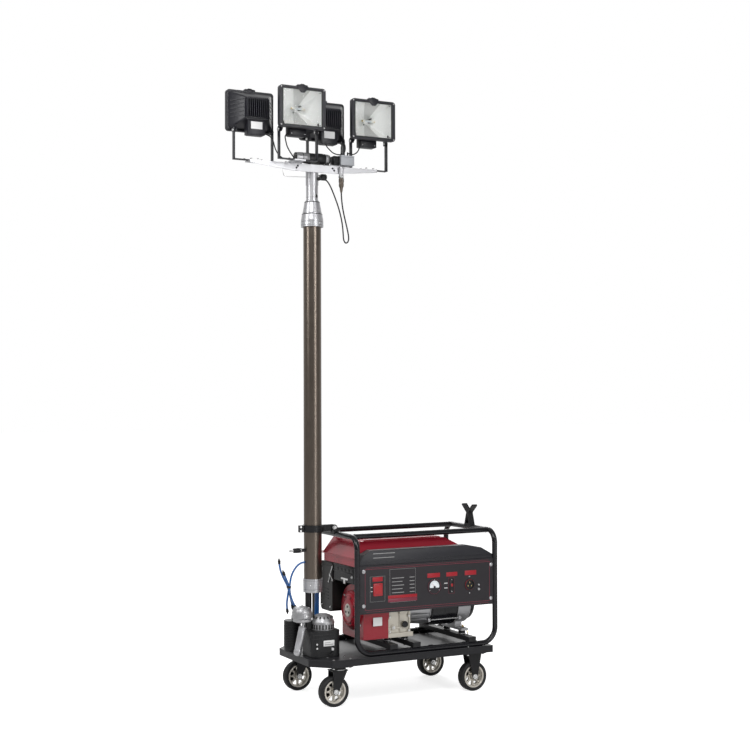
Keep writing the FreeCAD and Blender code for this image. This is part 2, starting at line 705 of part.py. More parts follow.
def make_engine():
    """Crankcase and cylinder as one plain block, with its fan, starter, muffler and air cleaner."""
    front, back = s.shaft_y - s.engine_front, s.shaft_y + s.engine_back
    case = rounded(box(s.engine_left, engine_right, front, back, engine_foot,
                       s.shaft_height + s.engine_over), "X", 18)
    foot = box(s.engine_left, engine_right + s.sump_lip, front - s.sump_lip, back + s.sump_lip,
               engine_foot, engine_foot + s.sump_height)
    cylinder_low = s.shaft_height - s.cylinder_low
    cylinder = rounded(box(s.engine_left + 8, engine_right - 8, back - 1, back + s.cylinder_length,
                           cylinder_low, cylinder_low + s.cylinder_height), "Y", 14)
    piece("engine_block", fuse(case, foot, cylinder))

    fan_left = s.engine_left - s.fan_length
    shroud = rod("X", fan_left, s.engine_left, s.shaft_y, s.shaft_height, s.fan_radius)
    skirt = box(fan_left, s.engine_left, s.shaft_y - s.fan_foot, s.shaft_y + s.fan_foot,
                engine_foot, s.shaft_height)
    piece("fan_housing", fuse(shroud, skirt))

    cover_left = fan_left - s.recoil_depth
    dish = rod("X", cover_left + s.recoil_rim, fan_left, s.shaft_y, s.shaft_height, s.recoil_radius)
    slope = cone("X", cover_left, cover_left + s.recoil_rim, s.shaft_y, s.shaft_height,
                 s.recoil_radius - s.recoil_rim, s.recoil_radius)
    hub = rod("X", cover_left - 4, fan_left, s.shaft_y, s.shaft_height, s.recoil_hub)
    piece("recoil_cover", fuse(dish, slope, hub))

    muffler = box(s.muffler_left, s.muffler_left + s.muffler_length, s.muffler_back - s.muffler_depth,
                  s.muffler_back, s.muffler_low, s.muffler_low + s.muffler_height)
    pipe = box(s.engine_left + 20, s.engine_left + 62, s.muffler_back - s.muffler_depth + 30,
               back + s.cylinder_length - 4,
               cylinder_low + s.cylinder_height, s.muffler_low + 2)
    shield = box(s.shield_left, s.muffler_left + 4, s.shield_front, s.muffler_back, s.shield_low,
                 s.muffler_low + s.muffler_height)
    piece("muffler", fuse(rounded(muffler, "X", 26), rounded(shield, "X", 26), pipe))

    cleaner_low = s.shaft_height + s.fan_radius
    cleaner = box(s.cleaner_left, s.cleaner_left + s.cleaner_length, s.cleaner_front,
                  s.cleaner_front + s.cleaner_depth, cleaner_low + 14, cleaner_low + 14 + s.cleaner_height)
    throat = rod("Z", cleaner_low - 16, cleaner_low + 16, s.cleaner_left + s.cleaner_length / 2,
                 s.shaft_y - 20, 24)
    piece("air_cleaner", cut(fuse(rounded(cleaner, "Z", 16), throat),
                             rod("X", fan_left, s.engine_left, s.shaft_y, s.shaft_height, s.fan_radius)))


def make_alternator():
    """Ribbed adapter, dark barrel and end casting on the engine's shaft line."""
    y, z = s.shaft_y, s.shaft_height
    adapter_end = engine_right + s.adapter_length
    barrel_end = adapter_end + s.barrel_length
    casting_end = barrel_end + s.end_casting_length
    adapter = cone("X", engine_right, adapter_end, y, z, s.adapter_radius - 14, s.adapter_radius)
    casting = rod("X", barrel_end, casting_end, y, z, s.end_casting_radius)
    half = s.end_foot_width / 2
    foot = box(s.crossbar_three - s.end_foot_length / 2, s.crossbar_three + s.end_foot_length / 2,
               y - half, y + half, engine_foot, engine_foot + 12)
    pillar = box(s.crossbar_three - s.end_foot_length / 2, s.crossbar_three + s.end_foot_length / 2,
                 y - 40, y + 40, engine_foot, z)
    piece("alternator_castings", group(adapter, fuse(casting, foot, pillar)))
    barrel = rod("X", adapter_end, barrel_end, y, z, s.barrel_radius)
    cover = rod("X", casting_end, casting_end + s.end_cover_length, y, z, s.end_cover_radius)
    doc.recompute()
    soft = doc.addObject("Part::Fillet", "CoverEdge")
    soft.Base = cover
    soft.Edges = [(number, 14, 14) for number, edge in enumerate(cover.Shape.Edges, start=1)
                  if isinstance(edge.Curve, Part.Circle) and edge.Curve.Center.x > float(casting_end) + 1]
    piece("alternator_barrel", group(barrel, soft))


def make_tank():
    """Pressed steel tank: straight lower half, leaning upper half, ribs and a seam flange."""
    left, right = s.tank_left, s.tank_left + s.tank_length
    front, back = s.tank_front, s.tank_front + s.tank_depth
    lean = s.tank_draft
    lower = rounded(box(left, right, front, back, s.tank_low, tank_seam), "Z", 24)
    upper = prism("Y", ((left, tank_seam), (right, tank_seam), (right - s.tank_slope, tank_top),
                        (left + lean, tank_top)), front, back)
    for side, low, high in ((-1, front, front + lean), (1, back, back - lean)):
        outside = low + 2 * lean * side
        wedge = prism("X", ((low, tank_seam), (high, tank_top), (high, tank_top + lean),
                            (outside, tank_top + lean), (outside, tank_seam)), left - 5, right + 5)
        upper = cut(upper, wedge)
    parts = [lower, upper]
    first = front + lean + s.tank_rib_width
    spacing = (s.tank_depth - 2 * lean - 3 * s.tank_rib_width) / 2
    for number in range(3):
        low = first - s.tank_rib_width / 2 + spacing * number
        parts.append(prism("Y", ((left + lean + 20, tank_top - 3), (right - s.tank_slope - 10, tank_top - 3),
                                 (right - s.tank_slope - 24, tank_top + s.tank_rib_height),
                                 (left + lean + 32, tank_top + s.tank_rib_height)),
                           low, low + s.tank_rib_width))
    lip_low = tank_seam - s.tank_lip_thickness / 2
    lip_high = lip_low + s.tank_lip_thickness
    parts.append(box(left - s.tank_lip / 2, right + s.tank_lip, front, back + s.tank_lip, lip_low, lip_high))
    half_ear = s.ear_width / 2
    for inner, outer in ((s.hoop_left + tube_radius, left + 40), (right - 20, hoop_right - tube_radius)):
        parts.append(box(inner, outer, back - 10, s.hoop_y + half_ear, lip_low, lip_high))
    piece("fuel_tank", fuse(*parts))
    cap_low = tank_top
    cap_y = (front + back) / 2 + 4
    cap = cone("Z", cap_low + s.tank_rib_height, cap_low + s.tank_rib_height + s.cap_height,
               s.cap_x, cap_y, s.cap_radius, s.cap_radius - 4)
    piece("fuel_cap", cap)


def make_panel():
    """A shallow sheet box between the front uprights, with a brow that covers the tank's edge."""
    left, right = s.hoop_left + tube_radius, hoop_right - tube_radius
    front, back = s.panel_front, s.panel_front + s.panel_depth
    face_top = s.panel_low + s.panel_height
    brow_top = face_top + s.brow_height
    shell = box(left, right, front, back, s.panel_low, face_top)
    wall = s.panel_wall
    hollow = box(left + wall, right - wall, front + wall, back + 1, s.panel_low + wall, face_top - wall)
    brow = prism("Y", ((left, face_top - 1), (right, face_top - 1), (right, face_top + s.brow_height * 0.28),
                       (right - s.brow_shoulder * 0.45, face_top + s.brow_height * 0.78),
                       (right - s.brow_shoulder, brow_top), (left + s.brow_shoulder * 0.42, brow_top),
                       (left + s.brow_shoulder * 0.14, face_top + s.brow_height * 0.72),
                       (left, face_top + s.brow_height * 0.3)), front + 6, s.tank_front)
    piece("control_panel", fuse(cut(shell, hollow), brow))

    proud = front - s.control_proud
    switch_left, switch_low = left + s.switch_x, s.panel_low + s.switch_low
    switch = box(switch_left, switch_left + s.switch_width, proud, front, switch_low,
                 switch_low + s.switch_height)
    meter = rod("Y", proud, front, left + s.meter_x, s.panel_low + s.meter_rise, s.meter_radius)
    breaker_left, breaker_low = left + s.breaker_x, s.panel_low + s.breaker_low
    breaker = box(breaker_left, breaker_left + s.breaker_width, proud, front, breaker_low,
                  breaker_low + s.breaker_height)
    outlet = rod("Y", proud, front, left + s.outlet_x, s.panel_low + s.outlet_rise, s.outlet_radius)
    stud_low = s.panel_low + s.stud_low
    studs = [rod("Y", proud, front, left + s.stud_x, height, s.stud_radius)
             for height in (stud_low, stud_low + s.stud_pitch)]
    piece("panel_controls", group(switch, meter, breaker, outlet, *studs))


def make_compressor():
    """A small oil-less compressor: body with a ribbed cap, rear drum, head and dryer canister."""
    half = s.pump_width / 2
    body_top = deck_top + s.pump_height
    body = rounded(box(s.pump_x - half, s.pump_x + half, s.pump_y - half, s.pump_y + half,
                       deck_top, body_top), "Z", s.pump_round)
    drum = rod("Z", deck_top, deck_top + s.drum_height, s.drum_x, s.drum_y, s.drum_radius)
    piece("compressor_body", group(body, drum))
    skirt = s.pump_cap_height * 0.55
    cap_low = rod("Z", body_top, body_top + skirt, s.pump_x + 10, s.pump_y, s.pump_cap_radius)
    cap_high = cone("Z", body_top + skirt, body_top + s.pump_cap_height, s.pump_x + 10, s.pump_y,
                    s.pump_cap_radius, s.pump_cap_radius * 0.62)
    cap = fuse(cap_low, cap_high)

    head = rounded(box(s.head_left, s.head_left + s.head_length, s.head_front, s.head_front + s.head_depth,
                       s.head_low, s.head_low + s.head_height), "Z", 34)
    neck = box(s.head_left + 62, s.head_left + s.head_length + 6, s.head_front + 12,
               s.head_front + s.head_depth - 12, body_top, s.head_low + 30)
    arm = box(s.drum_x - 20, s.drum_x + 20, s.head_front + s.head_depth - 4, s.drum_y,
              deck_top + s.drum_height, deck_top + s.drum_height + 30)
    cap_room = rod("Z", body_top - 1, body_top + s.pump_cap_height + 1, s.pump_x + 10, s.pump_y,
                   s.pump_cap_radius + 3)
    piece("compressor_head", cut(fuse(head, neck, arm), cap_room))

    lean = math.radians(float(s.canister_lean))
    foot = Vector(float(s.canister_x), float(s.canister_y), float(deck_top + s.canister_foot))
    direction = Vector(math.sin(lean), 0, math.cos(lean))
    length = float(s.canister_length)
    radius = float(s.canister_radius)
    tank = Part.makeCylinder(radius, length, foot, direction)
    dome = Part.makeCone(radius * 0.55, radius, 8, foot - direction * 8, direction)
    head_block = Part.makeBox(float(s.head_length), float(s.head_depth), float(s.head_height),
                              Vector(float(s.head_left), float(s.head_front), float(s.head_low)))
    rise = Part.makeCylinder(7, 60, foot + direction * (length - 1), direction)
    canister = solid(tank.fuse(dome).fuse(rise).cut(head_block).removeSplitter())
    piece("compressor_castings", group(cap, canister))


def make_mast_mounts():
    """The hinge bracket on the left arch, the fork on the right one and the stop post."""
    y_in = s.tongue_width / 2 + s.cheek_gap
    y_out = y_in + s.cheek_thickness
    arch = rod("Y", -s.hoop_y, s.hoop_y, s.hoop_left, frame_top, tube_radius)
    parts = [rod("Y", -y_out, y_out, s.pivot_x, pivot_height, s.pivot_pin / 2)]
    for low, high in ((-y_out, -y_in), (y_in, y_out)):
        round_end = rod("Y", low, high, s.pivot_x, pivot_height, s.tongue_round)
        web = prism("Y", ((s.pivot_x - s.tongue_round, pivot_height), (s.pivot_x + s.tongue_round, pivot_height),
                          (s.hoop_left + tube_radius, frame_top), (s.hoop_left - tube_radius, frame_top)),
                    low, high)
        parts += [round_end, web]
    saddle = box(s.hoop_left - tube_radius - 3, s.hoop_left + tube_radius + 3, -y_out, y_out,
                 frame_top, frame_top + tube_radius + 2)
    piece("mast_bracket", cut(fuse(saddle, *parts), arch))

    fold_height = pivot_height + s.pivot_x - s.mast_x
    angle = math.radians(float(s.rest_angle))
    inner_vertex = fold_height - (mast_radius + s.rest_gap) / math.sin(angle)
    outer_vertex = inner_vertex - s.rest_bar / math.sin(angle)
    tip = inner_vertex + s.rest_reach / math.tan(angle)
    half = s.rest_width / 2
    drop = s.rest_bar * math.sin(angle)
    wide = s.rest_reach + s.rest_bar * math.cos(angle)
    vee = prism("X", ((as_size(0), outer_vertex), (wide, tip - drop), (s.rest_reach, tip),
                      (as_size(0), inner_vertex), (-s.rest_reach, tip), (-wide, tip - drop)),
                hoop_right - half, hoop_right + half)
    stem = prism("X", ((as_size(-34), frame_top), (as_size(34), frame_top),
                       (as_size(9), outer_vertex + 10), (as_size(-9), outer_vertex + 10)),
                 hoop_right - half, hoop_right + half)
    window = prism("X", ((as_size(-15), frame_top + tube_radius + 6), (as_size(15), frame_top + tube_radius + 6),
                         (as_size(0), outer_vertex - 8)), hoop_right - half - 1, hoop_right + half + 1)
    arch = rod("Y", -s.hoop_y, s.hoop_y, hoop_right, frame_top, tube_radius)
    under = box(hoop_right - half - 1, hoop_right + half + 1, -40, 40, frame_top - 1, frame_top + 4)
    piece("mast_rest_fork", cut(fuse(vee, stem), window, arch, under))

    post = rod("Z", deck_top, s.mast_low - s.post_gap, s.post_x, 0, s.post_diameter / 2)
    half_foot = s.post_foot / 2
    flange = box(s.post_x - half_foot, s.post_x + half_foot, -half_foot, half_foot, deck_top, deck_top + 6)
    piece("mast_post", fuse(post, flange))


def make_mast():
    """Outer section with its collars and clamp, and two sections that slide out of it."""
    x = s.mast_x
    tube = cut(rod("Z", s.mast_low, mast_top, x, 0, mast_radius),
               rod("Z", s.mast_low + 20, mast_top + 1, x, 0, mast_radius - s.mast_wall))
    piece("mast_tube", tube)
    two_radius, three_radius = s.section_two_diameter / 2, s.section_three_diameter / 2
    base = cut(rod("Z", s.mast_low, s.mast_low + s.base_collar_height, x, 0, s.base_collar_diameter / 2),
               rod("Z", s.mast_low - 1, s.mast_low + s.base_collar_height + 1, x, 0, mast_radius))
    lower = s.collar_one_height * 0.5
    top_collar = fuse(rod("Z", mast_top - 6, mast_top + lower, x, 0, s.collar_one_diameter / 2),
                      cone("Z", mast_top + lower, collar_one_top, x, 0, s.collar_one_diameter / 2,
                           s.collar_top_diameter / 2))
    top_collar = cut(top_collar, rod("Z", mast_top - 7, mast_top, x, 0, mast_radius),
                     rod("Z", mast_top - 1, collar_one_top + 1, x, 0, two_radius + s.slide_gap))
    piece("mast_collars", group(base, top_collar))

    clamp_low = pivot_height - s.clamp_height / 2
    clamp_high = clamp_low + s.clamp_height
    outer = mast_radius + s.clamp_wall
    ring = rod("Z", clamp_low, clamp_high, x, 0, outer)
    ear = box(x - outer - s.clamp_ear, x, -9, 9, clamp_low, clamp_high)
    half_tongue = s.tongue_width / 2
    tongue = box(x, s.pivot_x, -half_tongue, half_tongue, pivot_height - s.tongue_round,
                 pivot_height + s.tongue_round)
    round_end = rod("Y", -half_tongue, half_tongue, s.pivot_x, pivot_height, s.tongue_round)
    bore = rod("Y", -half_tongue - 1, half_tongue + 1, s.pivot_x, pivot_height,
               s.pivot_pin / 2 + s.running_gap)
    inside = rod("Z", clamp_low - 1, clamp_high + 1, x, 0, mast_radius)
    piece("mast_clamp", cut(fuse(ring, ear, tongue, round_end), inside, bore))

    start = x - mast_radius
    length = s.air_plug_length
    boss = rod("X", start - length * 0.25, start + 2, 0, s.air_plug_height, s.air_plug_diameter * 0.36)
    grip = rod("X", start - length * 0.72, start - length * 0.25, 0, s.air_plug_height,
               s.air_plug_diameter / 2)
    nose = cone("X", start - length, start - length * 0.72, 0, s.air_plug_height,
                s.air_plug_diameter * 0.2, s.air_plug_diameter * 0.42)
    piece("air_plug", cut(fuse(boss, grip, nose), rod("Z", s.mast_low, mast_top, x, 0, mast_radius)))

    two_low = s.mast_low + s.section_step
    two = cut(rod("Z", two_low, collar_one_top + 10, x, 0, two_radius),
              rod("Z", two_low + 4, collar_one_top + 11, x, 0, two_radius - s.section_wall))
    piece("section_two", two)
    shade = 5
    collar = fuse(rod("Z", collar_one_top, collar_one_top + shade, x, 0, s.collar_two_diameter / 2 - 2),
                  cone("Z", collar_one_top + shade, collar_two_end - shade, x, 0, s.collar_two_diameter / 2,
                       s.collar_two_top / 2),
                  rod("Z", collar_two_end - shade, collar_two_end, x, 0, s.collar_two_top / 2 - 2))
    piece("section_two_collar", cut(collar,
                                    rod("Z", collar_one_top - 1, collar_one_top + 10, x, 0, two_radius),
                                    rod("Z", collar_one_top, collar_two_end + 1, x, 0,
                                        three_radius + s.slide_gap)))
    three_low = two_low + s.section_step
    three = fuse(rod("Z", three_low, neck_end, x, 0, three_radius),
                 rod("Z", collar_two_end, collar_two_end + s.neck_ring_height, x, 0, s.neck_ring_diameter / 2))
    bore = rod("Z", three_low + 4, neck_end - 8, x, 0, three_radius - s.section_wall)
    spigot = rod("Z", neck_end - 1, neck_end + s.spigot_length, x, 0, s.spigot_diameter / 2)
    piece("section_three", fuse(cut(three, bore), spigot))


def gland_mouth():
    """Where the head's cable enters the gland on the socket."""
    angle = math.radians(GLAND_TURN)
    reach = float(s.socket_diameter) / 2 + float(s.gland_length)
    return Vector(float(s.mast_x) + reach * math.cos(angle), reach * math.sin(angle), float(neck_end) + 30)


def make_head():
    """Socket, light bar, pan motor and control box that turn together."""
    x = s.mast_x
    radius = s.socket_diameter / 2
    socket = rod("Z", neck_end, bar_low, x, 0, radius)
    flange_front = -s.bar_width / 2
    shoulder = cut(rod("Z", bar_low - 12, bar_low, x, 0, radius + 8),
                   box(x - radius - 9, x + radius + 9, flange_front - 9, flange_front, bar_low - 13, bar_low + 1))
    knob_z = neck_end + s.socket_height * 0.48
    stalk = rod("X", x, x + radius + 8, 0, knob_z, 7)
    knob = rod("X", x + radius + 4, x + radius + 4 + s.knob_length, 0, knob_z, s.knob_diameter / 2)
    bore = rod("Z", neck_end - 1, neck_end + s.spigot_length + 1, x, 0, s.spigot_diameter / 2 + s.running_gap)
    piece("head_socket", cut(fuse(socket, shoulder, stalk), bore))
    exit_angle = math.radians(GLAND_TURN)
    out = Vector(math.cos(exit_angle), math.sin(exit_angle), 0)
    length = float(s.gland_length)
    gland = Part.makeCylinder(9, length + 3, gland_mouth() - out * (length + 3), out)
    core = Part.makeCylinder(float(radius), float(s.socket_height), Vector(float(x), 0, float(neck_end)))
    piece("head_fittings", group(cut(knob, stalk), solid(gland.cut(core))))

    half = s.bar_width / 2
    plate = box(x - s.bar_half, x + s.bar_half, -half, half, bar_low, bar_top)
    flange = prism("Y", ((x - s.bar_half, bar_top), (x + s.bar_half, bar_top),
                         (x + s.bar_half, bar_low - s.bar_flange_tip),
                         (x + s.bar_flange_flat, bar_top - s.bar_flange),
                         (x - s.bar_flange_flat, bar_top - s.bar_flange),
                         (x - s.bar_half, bar_low - s.bar_flange_tip)), -half - s.bar_thickness, -half)
    parts = [plate, flange]
    half_carrier = s.carrier_width / 2
    for middle, side in ((x - s.lamp_inner, -1), (x + s.lamp_inner, 1)):
        far = s.lamp_offset + half_carrier
        near = half
        low, high = (-far, near) if side < 0 else (-near, far)
        parts.append(box(middle - half_carrier, middle + half_carrier, low, high,
                         bar_top, bar_top + s.carrier_thickness))
    piece("light_bar", fuse(*parts))

    centre = bar_top + s.motor_radius + 8
    start = x - s.motor_length * 0.52
    band = start + s.motor_length * 0.62
    finish = start + s.motor_length
    drive = fuse(rod("X", start, finish, s.motor_y, centre, s.motor_radius),
                 box(x - 22, x + 22, s.motor_y - 22, s.motor_y + 22, bar_top, centre))
    piece("pan_motor", fuse(drive, rod("X", band, band + 34, s.motor_y, centre, s.motor_radius + 2)))

    left = x + s.box_left
    control = rounded(box(left, left + s.box_length, s.box_front, s.box_front + s.box_depth,
                          bar_top, bar_top + s.box_height), "Z", 6)
    carrier = box(x + s.lamp_inner - s.carrier_width / 2, x + s.lamp_inner + s.carrier_width / 2,
                  -s.bar_width / 2, s.bar_width, bar_top - 1, bar_top + s.carrier_thickness)
    control = cut(control, carrier)
    plug_x = x + s.plug_x
    shell = rod("Z", bar_top - s.plug_length * 0.42, bar_top, plug_x, s.plug_y, s.plug_radius * 0.8)
    nut = rod("Z", bar_top - s.plug_length * 0.78, bar_top - s.plug_length * 0.42, plug_x, s.plug_y,
              s.plug_radius)
    tail = cone("Z", bar_top - s.plug_length, bar_top - s.plug_length * 0.78, plug_x, s.plug_y,
                s.head_cable / 2 + 2, s.plug_radius * 0.8)
    piece("control_box", fuse(control, shell, nut, tail))


LAMPS = (  # name, side along the bar, 1 outer or 0 inner, facing -1 to the front or 1 to the back
    ("back_outer", -1, 1, 1),
    ("front_inner", -1, 0, -1),
    ("back_inner", 1, 0, 1),
    ("front_outer", 1, 1, -1),
)


def lamp_pivot(side, outer, facing):
    """Where a lamp's tilt axis lies."""
    if outer:
        return s.mast_x + s.lamp_outer * side, as_size(0), bar_top + s.bracket_height
    return (s.mast_x + s.lamp_inner * side, s.lamp_offset * facing,
            bar_top + s.carrier_thickness + s.bracket_height)


def make_bracket(side, outer, facing):
    """A strip bent to a U, with the two pivot bolts."""
    x, y, z = lamp_pivot(side, outer, facing)
    inner = s.bracket_span / 2
    reach = inner + s.bracket_strip
    half = s.bracket_width / 2
    base = z - s.bracket_height
    parts = [box(x - reach, x + reach, y - half, y + half, base, base + s.bracket_strip)]
    for low, high in ((x - reach, x - inner), (x + inner, x + reach)):
        parts += [box(low, high, y - half, y + half, base, z), rod("X", low, high, y, z, half)]
    pin_reach = inner - s.ear_gap - s.ear_thickness
    parts += [rod("X", x - reach - 3, x - pin_reach, y, z, s.bracket_pin / 2),
              rod("X", x + pin_reach, x + reach + 3, y, z, s.bracket_pin / 2)]
    return fuse(*parts)


def taper(width, height, z_low, back_width, back_height, z_back, y_front, y_back):
    """A hollow or solid pyramid stump between two upright rectangles, as a loft of straight lines."""
    wires = []
    for wide, tall, low, y in ((width, height, z_low, y_front), (back_width, back_height, z_back, y_back)):
        corners = [Vector(-wide / 2, y, low), Vector(wide / 2, y, low), Vector(wide / 2, y, low + tall),
                   Vector(-wide / 2, y, low + tall), Vector(-wide / 2, y, low)]
        wires.append(Part.makePolygon(corners))
    return Part.makeLoft(wires, True, True)


def lamp_shape():
    """One lamp at its pivot, facing -Y: frame, tapered hollow body, fins, junction box and ears."""
    v = float
    width, height = v(s.lamp_width), v(s.lamp_height)
    low = v(s.lamp_lift)
    face = -v(s.lamp_front)
    frame_back = face + v(s.lamp_frame_depth)
    frame = Part.makeBox(width, v(s.lamp_frame_depth), height, Vector(-width / 2, face, low))
    upright = [edge for edge in frame.Edges if abs(edge.tangentAt(0).y) > 0.9]
    frame = frame.makeFillet(v(s.lamp_round), upright)
    wall = v(s.lamp_wall)
    body_width, body_height = width - 22, height - 22
    body_low = low + 11
    back = frame_back + v(s.lamp_body_depth)
    back_width, back_height = v(s.lamp_back_width), v(s.lamp_back_height)
    back_low = low + (height - back_height) / 2
    body = taper(body_width, body_height, body_low, back_width, back_height, back_low, frame_back - 1, back)
    window_w, window_h = v(s.lamp_window), v(s.lamp_window_height)
    window_low = low + (height - window_h) / 2
    window = Part.makeBox(window_w, v(s.lamp_frame_depth) + 2, window_h, Vector(-window_w / 2, face - 1, window_low))
    hollow = taper(window_w, window_h, window_low, back_width - 4 * wall, back_height - 4 * wall,
                   back_low + 2 * wall, frame_back, back - 2 * wall)
    shape = frame.fuse(body)
    block_w = back_width - 10
    block_h = back_height - 12
    block = Part.makeBox(block_w, 8, block_h, Vector(-block_w / 2, back - 2, back_low + 6))
    fins = []
    pitch, thick = v(s.fin_pitch), v(s.fin_thickness)
    count = int(v(s.fin_count))
    for number in range(count):
        x = (number - (count - 1) / 2) * pitch
        fins.append(Part.makeBox(thick, v(s.fin_depth) + 2, block_h - 10,
                                 Vector(x - thick / 2, back, back_low + 11)))
    junction_w, junction_d = v(s.junction_width), v(s.junction_depth)
    junction_low = -v(s.junction_drop)
    junction = Part.makeBox(junction_w, junction_d, back_low + 20 - junction_low,
                            Vector(-junction_w / 2, -2, junction_low))
    ear_out = v(s.bracket_span) / 2 - v(s.ear_gap)
    ears = []
    for start in (-ear_out, ear_out - v(s.ear_thickness)):
        points = [Vector(start, frame_back - 4, body_low + 2), Vector(start, -12, -10), Vector(start, 12, -10),
                  Vector(start, 12, 14), Vector(start, -2, body_low + 24), Vector(start, frame_back - 4, body_low + 24)]
        ear = Part.Face(Part.makePolygon(points + points[:1])).extrude(Vector(v(s.ear_thickness), 0, 0))
        ears.append(ear)
    clip_w = v(s.clip_width)
    clip = Part.makeBox(clip_w, v(s.lamp_frame_depth) - 4, v(s.clip_height) + 4,
                        Vector(-clip_w / 2, face + 2, low + height - 4))
    shape = shape.fuse([block, junction, clip] + fins + ears)
    shape = shape.cut(window).cut(hollow)
    bore = Part.makeCylinder(v(s.bracket_pin) / 2 + v(s.running_gap), v(s.bracket_span) + 20,
                             Vector(-v(s.bracket_span) / 2 - 10, 0, 0), Vector(1, 0, 0))
    # The pivot bolts pass only through the ears
    hidden = Part.makeBox(v(s.bracket_span) - 40, 30, 30, Vector(-v(s.bracket_span) / 2 + 20, -15, -15))
    shape = shape.cut(bore.cut(hidden)).removeSplitter()
    gap = v(s.glass_gap)
    glass = Part.makeBox(window_w - 2 * gap, v(s.glass_thickness), window_h - 2 * gap,
                         Vector(-window_w / 2 + gap, face + 3, window_low + gap))
    return shape, glass


def make_lamps():
    """Four brackets, housings and glasses."""
    piece("lamp_brackets", group(*[make_bracket(side, outer, facing) for _, side, outer, facing in LAMPS]))
    housing, glass = lamp_shape()
    for name, side, outer, facing in LAMPS:
        x, y, z = lamp_pivot(side, outer, facing)
        turn = Rotation(Vector(0, 0, 1), 0 if facing < 0 else 180)
        for label, shape in (("lamp_housing_", housing), ("lamp_glass_", glass)):
            lamp = solid(shape.copy())
            lamp.Placement = Placement(Vector(float(x), float(y), float(z)), turn)
            piece(label + name, lamp)


# Leads from the bar's middle to the lamps, to where they leave the head: x from the mast's axis, y,
# z from the top of the bar
LEADS = (
    ("back_outer", ((-23, -29.5, 3.4), (-56, -29.5, 4), (-80, -29.5, 9.6), (-139, -29.5, 9.6), (-175, -31, 13),
                    (-201, -36, 30), (-218, -38, 56), (-225, -38, 83))),
    ("front_inner", ((-23, -22.5, 3.4), (-56, -22.5, 4), (-80, -22.5, 9.6), (-100, -24, 11),
                     (-118, -33, 26), (-141, -42, 48), (-159, -50, 71), (-165, -54, 86))),
    ("back_inner", ((153, -22, 56), (153, -22, 80), (155, -19, 102), (161, -17, 118), (176, -14, 118),
                    (182, -12, 100), (181, -9, 80), (172, -7, 64), (152, -5, 61), (132, -1, 63), (115, 6, 72),
                    (105, 20, 90))),
    ("front_outer", ((193, -14, 56), (193, -14, 68), (200, 4, 79), (218, 24, 76), (243, 30, 74),
                     (263, 30, 83))),
)


# Spare hoses, from the strap that ties them together; the first comes from the mast
SPARE_HOSES = (
    ((74.5, -27, 122), (56, -27, 121.6), (30, -19, 100), (10, -12, 62), (0.5, -10.5, 15), (0.5, -10.5, -28),
     (16, -9, -74), (34, -7, -104)),
    ((-27, 2, 72), (-17, 1, 46), (-4, 0, 18), (0, 0, -12), (-6, 3, -52), (-10, 5, -92), (-5, 6, -122)),
    ((-47, 12, 130), (-45, 12, 98), (-31, 11.5, 58), (-10, 10.5, 18), (1, 10.5, -8), (12, 12, -46),
     (21, 13, -80), (26, 13, -106)),
)


def make_cords():
    """The cable loop at the head, the hoses under the mast and the spare hose tied to it."""
    plug = Vector(float(s.mast_x + s.plug_x), float(s.plug_y), float(bar_top - s.plug_length))
    exit_angle = math.radians(GLAND_TURN)
    out = Vector(math.cos(exit_angle), math.sin(exit_angle), 0)
    gland_end = gland_mouth()
    route = [plug, plug + Vector(1, 0, -34), plug + Vector(9, 0, -88), plug + Vector(22, -1, -142),
             plug + Vector(35, -2, -194), plug + Vector(41, -2, -228), plug + Vector(36, -3, -249),
             plug + Vector(20, -4, -256), plug + Vector(9, -5, -238), plug + Vector(7, -6, -204),
             plug + Vector(1, -7, -152), plug + Vector(-14, -9, -96),
             plug + Vector(-34, -12, -44), gland_end + out * 34 + Vector(10, 0, -22), gland_end + out * 14,
             gland_end]
    piece("head_cable", cord_tube("head_cable", route, float(s.head_cable)))

    axis, top = float(s.mast_x), float(bar_top)
    pieces = []
    for name, points in LEADS:
        route = [Vector(axis + x, y, top + z) for x, y, z in points]
        pieces.append(cord_tube("lead to " + name, route, float(s.lamp_lead)))
    piece("lamp_leads", group(*pieces))

    foot = Vector(axis + 27, 14, float(deck_top))
    hoses = cord_tube("hose_bundle", [foot, foot + Vector(6, 8, 96), foot + Vector(1, 4, 190),
                                      Vector(foot.x - 2, foot.y - 4, float(s.mast_low) - 6)],
                      float(s.hose_bundle))
    piece("hose_bundle", cut(hoses, box(s.mast_x - 60, s.mast_x + 100, -80, 80, s.deck_under, deck_top)))
    tie = Vector(axis - 120, 27, float(s.mast_low) + 28)
    tubes = [cord_tube("spare hose", [tie + Vector(*step) for step in steps], float(s.hose_hank))
             for steps in SPARE_HOSES]
    reach = float(s.hose_hank) * 1.5 + 1
    strap = Part.makeBox(14, 2 * reach, 12, tie + Vector(-7, -reach, -6))
    piece("hose_hank", solid(tubes[0].Shape.multiFuse([tubes[1].Shape, tubes[2].Shape, strap])))


make_deck()
make_casters()
make_tube_frame()
make_engine_mounts()
make_engine()
make_alternator()
make_tank()
make_panel()
make_compressor()
make_mast_mounts()
make_mast()
make_head()
make_lamps()
make_cords()
doc.recompute()

for thing in doc.Objects:
    if "Invalid" in thing.State or "Error" in thing.State:
        raise RuntimeError("%s (%s) failed: %s" % (thing.Name, thing.Label, thing.State))
for thing in PIECES:
    if thing.Shape.isNull() or not thing.Shape.isValid() or not thing.Shape.Solids:
        raise RuntimeError("%s has no valid shape" % thing.Label)

os.makedirs("parts", exist_ok=True)
for thing in PIECES:
    thing.Shape.exportStep("parts/%s.step" % thing.Label)
print("%d sub-parts written" % len(PIECES))
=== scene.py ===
import json
import math

import bmesh
import bpy
from mathutils import Matrix, Vector
from mathutils.geometry import tessellate_polygon


